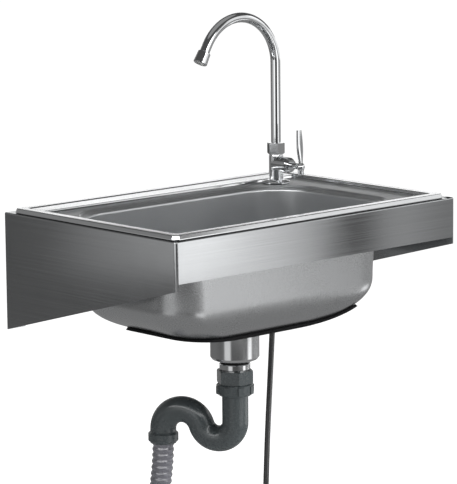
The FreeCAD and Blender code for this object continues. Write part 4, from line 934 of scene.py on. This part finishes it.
def make_world():
    """White where it is seen, and a softer light on the matt pieces."""
    world = bpy.data.worlds.new("studio")
    world.use_nodes = True
    bpy.context.scene.world = world
    tree = world.node_tree
    tree.nodes.clear()
    lit = tree.nodes.new("ShaderNodeBackground")
    lit.inputs["Color"].default_value = (1, 1, 1, 1)
    lit.inputs["Strength"].default_value = AMBIENT
    seen = tree.nodes.new("ShaderNodeBackground")
    seen.inputs["Color"].default_value = (1, 1, 1, 1)
    seen.inputs["Strength"].default_value = 1.0
    either = tree.nodes.new("ShaderNodeMixShader")
    out = tree.nodes.new("ShaderNodeOutputWorld")
    tree.links.new(seen_mask(tree), either.inputs["Fac"])
    tree.links.new(lit.outputs["Background"], either.inputs[1])
    tree.links.new(seen.outputs["Background"], either.inputs[2])
    tree.links.new(either.outputs["Shader"], out.inputs["Surface"])


def floor_material(colour):
    """Pale floor that shows white where it is lit, and keeps the sink's shadow."""
    material = bpy.data.materials.new("PaleFloor")
    material.use_nodes = True
    tree = material.node_tree
    tree.nodes.clear()
    matt = tree.nodes.new("ShaderNodeBsdfDiffuse")
    matt.inputs["Color"].default_value = (*colour, 1)
    glow = tree.nodes.new("ShaderNodeEmission")
    tree.links.new(seen_mask(tree), glow.inputs["Strength"])
    glow.inputs["Color"].default_value = (FLOOR_GLOW, FLOOR_GLOW, FLOOR_GLOW, 1)
    both = tree.nodes.new("ShaderNodeAddShader")
    out = tree.nodes.new("ShaderNodeOutputMaterial")
    tree.links.new(matt.outputs["BSDF"], both.inputs[0])
    tree.links.new(glow.outputs["Emission"], both.inputs[1])
    tree.links.new(both.outputs["Shader"], out.inputs["Surface"])
    return material


def make_floor(colours):
    """Level floor under the lowest piece."""
    signs = ((-1, -1), (1, -1), (1, 1), (-1, 1))
    corners = [(FLOOR_HALF * x, FLOOR_HALF * y, CAD_BOX[0].z) for x, y in signs]
    mesh = bpy.data.meshes.new("floor")
    mesh.from_pydata(corners, [], [tuple(range(len(corners)))])
    mesh.materials.append(floor_material(colours.floor))
    in_scene("floor", mesh)


def make_lamp(name, place, aim, size, power):
    """Soft lamp for the matt pieces; the metal shows the surround instead."""
    data = bpy.data.lights.new(name, "AREA")
    data.shape = "RECTANGLE"
    data.size, data.size_y = size
    data.energy = power
    lamp = in_scene(name, data)
    lamp.location = place
    lamp.rotation_mode = "QUATERNION"
    lamp.rotation_quaternion = (Vector(aim) - Vector(place)).to_track_quat("-Z", "Y")
    lamp.visible_camera = False
    lamp.visible_glossy = False


def tone_material(name, tones):
    """Glowing grey whose tone follows the bearing round the sink, from the photograph's camera, clockwise."""
    material = bpy.data.materials.new(name)
    material.use_nodes = True
    tree = material.node_tree
    tree.nodes.clear()
    place = tree.nodes.new("ShaderNodeTexCoord")
    bearing = tree.nodes.new("ShaderNodeTexGradient")
    bearing.gradient_type = "RADIAL"
    ramp = tree.nodes.new("ShaderNodeValToRGB")
    stops = ramp.color_ramp.elements
    while len(stops) < len(tones):
        stops.new(0.5)
    for stop, (degrees, tone) in zip(stops, tones):
        stop.position = degrees / 360 + 0.5
        stop.color = (tone, tone, tone, 1)
    glow = tree.nodes.new("ShaderNodeEmission")
    out = tree.nodes.new("ShaderNodeOutputMaterial")
    tree.links.new(place.outputs["Object"], bearing.inputs["Vector"])
    tree.links.new(bearing.outputs["Fac"], ramp.inputs["Fac"])
    tree.links.new(ramp.outputs["Color"], glow.inputs["Color"])
    tree.links.new(glow.outputs["Emission"], out.inputs["Surface"])
    return material


def make_surround(name, first, last, low, high, tones):
    """Part of a round screen that only the metal shows, between two bearings from the camera."""
    panels = round((last - first) / PANEL_DEGREES)
    turns = [math.radians(mix(first, last, k / panels)) for k in range(panels + 1)]
    plan = [(SCREEN_RADIUS * math.cos(a), SCREEN_RADIUS * math.sin(a)) for a in turns]
    bm = bmesh.new()
    rows = [[bm.verts.new((x, y, z)) for x, y in plan] for z in (low, high)]
    for k in range(panels):
        bm.faces.new((rows[0][k], rows[0][k + 1], rows[1][k + 1], rows[1][k]))
    screen = in_scene(name, mesh_from(name, bm))
    screen.data.materials.append(tone_material(name, tones))
    screen.rotation_euler.z = CAMERA_AZIMUTH - math.pi / 2
    only_in_gloss(screen)


def only_in_gloss(piece):
    """Stage piece that shows in reflections alone."""
    piece.visible_camera = False
    piece.visible_diffuse = False
    piece.visible_shadow = False
    piece.visible_transmission = False


def make_card(name, z, tone):
    """Level grey disc that only the metal shows."""
    bm = bmesh.new()
    bmesh.ops.create_circle(bm, cap_ends=True, segments=64, radius=SCREEN_RADIUS)
    card = in_scene(name, mesh_from(name, bm))
    card.data.materials.append(tone_material(name, ((-180, tone), (180, tone))))
    card.location.z = z
    only_in_gloss(card)


# Operators


class SINK_OT_stage(bpy.types.Operator):
    """Camera, floor, lamps and the white background"""

    bl_idname = "sink.stage"
    bl_label = "Stage"

    def execute(self, context):
        colours = context.scene.sink_colours
        context.scene.view_settings.view_transform = "Standard"
        make_camera()
        make_world()
        make_floor(colours)
        for lamp in LAMPS:
            make_lamp(*lamp)
        for screen in SURROUND:
            make_surround(*screen)
        for card in CARDS:
            make_card(*card)
        return {"FINISHED"}


class SINK_OT_drain_hose(bpy.types.Operator):
    """Ribbed hose from the trap to the waste pipe"""

    bl_idname = "sink.drain_hose"
    bl_label = "Waste hose"

    def execute(self, context):
        make_drain_hose(context.scene.sink_hoses, context.scene.sink_colours)
        return {"FINISHED"}


class SINK_OT_supply_hose(bpy.types.Operator):
    """Sleeved hose from the tap's shank to the water supply"""

    bl_idname = "sink.supply_hose"
    bl_label = "Supply hose"

    def execute(self, context):
        make_supply_hose(context.scene.sink_hoses, context.scene.sink_colours)
        return {"FINISHED"}


class SINK_OT_spout(bpy.types.Operator):
    """Gooseneck tube of the tap"""

    bl_idname = "sink.spout"
    bl_label = "Spout"

    def execute(self, context):
        make_spout(context.scene.sink_spout, context.scene.sink_colours)
        return {"FINISHED"}


class SINK_OT_basin(bpy.types.Operator):
    """Pressed basin with its rim, deck, bead and bowl"""

    bl_idname = "sink.basin"
    bl_label = "Basin"

    def execute(self, context):
        make_basin(context.scene.sink_basin, context.scene.sink_colours)
        return {"FINISHED"}


class SINK_OT_pad(bpy.types.Operator):
    """Damping pad glued under the bowl"""

    bl_idname = "sink.pad"
    bl_label = "Damping pad"

    def execute(self, context):
        make_pad(context.scene.sink_basin, context.scene.sink_colours)
        return {"FINISHED"}


# Which finish each rigid piece has
FINISHES = (
    (brushed_steel, ("bracket_shell", "rear_rail")),
    # The strainer takes the rim's lighter steel, whose colour holds painted sheen
    (polished_steel_painted_sheen, ("strainer_body", "strainer_basket")),
    (plating, ("outlet_neck", "neck_nut", "basket_knob", "base_flange", "tap_body", "clamp_washer",
               "collar_nut", "aerator_housing", "bonnet_nut", "lever_handle", "valve_spindle", "supply_nut",
               "supply_sleeve", "inlet_sleeve", "inlet_nut")),
    (turned_brass, ("tap_shank", "tap_backnut", "valve_cartridge", "supply_tail", "inlet_tail")),
    (moulded_pipe, ("inlet_adapter", "ring_nut", "trap_bend", "hose_end_connector")),
    (black_plastic, ("strainer_locknut",)),
    (black_rubber, ("rim_seal", "flange_gasket", "under_gasket", "neck_washer", "neck_seal", "cone_seal",
                    "hose_seal", "base_seal", "deck_washer", "spout_o_rings", "valve_seal", "supply_washer",
                    "inlet_washer", "basket_stopper")),
    (white_plastic, ("fixed_disc", "moving_disc", "spout_ring", "aerator_insert")),
    (black_steel, ("lever_grub_screw",)),
)


class SINK_OT_finishes(bpy.types.Operator):
    """Finishes of the rigid pieces"""

    bl_idname = "sink.finishes"
    bl_label = "Finishes"

    def execute(self, context):
        for make, nodes in FINISHES:
            for node in nodes:
                dress(node, make(context.scene.sink_colours))
        return {"FINISHED"}


class SINK_PT_panel(bpy.types.Panel):
    """Sizes, colours and steps of the hand sink"""

    bl_idname = "SINK_PT_panel"
    bl_label = "Hand sink"
    bl_space_type = "VIEW_3D"
    bl_region_type = "UI"
    bl_category = "Hand sink"

    def draw(self, context):
        for operator in OPERATORS:
            self.layout.operator(operator.bl_idname)
        for owner in GROUPS:
            group = getattr(context.scene, owner)
            box = self.layout.box()
            for name in group.__annotations__:
                box.prop(group, name)


OPERATORS = (SINK_OT_stage, SINK_OT_drain_hose, SINK_OT_supply_hose, SINK_OT_spout, SINK_OT_basin,
             SINK_OT_pad, SINK_OT_finishes)
GROUPS = {
    "sink_basin": BasinSizes,
    "sink_hoses": HoseSizes,
    "sink_spout": SpoutSizes,
    "sink_colours": FinishColours,
}


def register():
    for cls in (*GROUPS.values(), *OPERATORS, SINK_PT_panel):
        bpy.utils.register_class(cls)
    for name, group in GROUPS.items():
        setattr(bpy.types.Scene, name, PointerProperty(type=group))


def unregister():
    for name in GROUPS:
        delattr(bpy.types.Scene, name)
    for cls in (SINK_PT_panel, *reversed(OPERATORS), *GROUPS.values()):
        bpy.utils.unregister_class(cls)


def main():
    register()
    bpy.ops.sink.stage()
    bpy.ops.sink.drain_hose()
    bpy.ops.sink.supply_hose()
    bpy.ops.sink.spout()
    bpy.ops.sink.basin()
    bpy.ops.sink.pad()
    bpy.ops.sink.finishes()


if __name__ == "__main__":
    main()
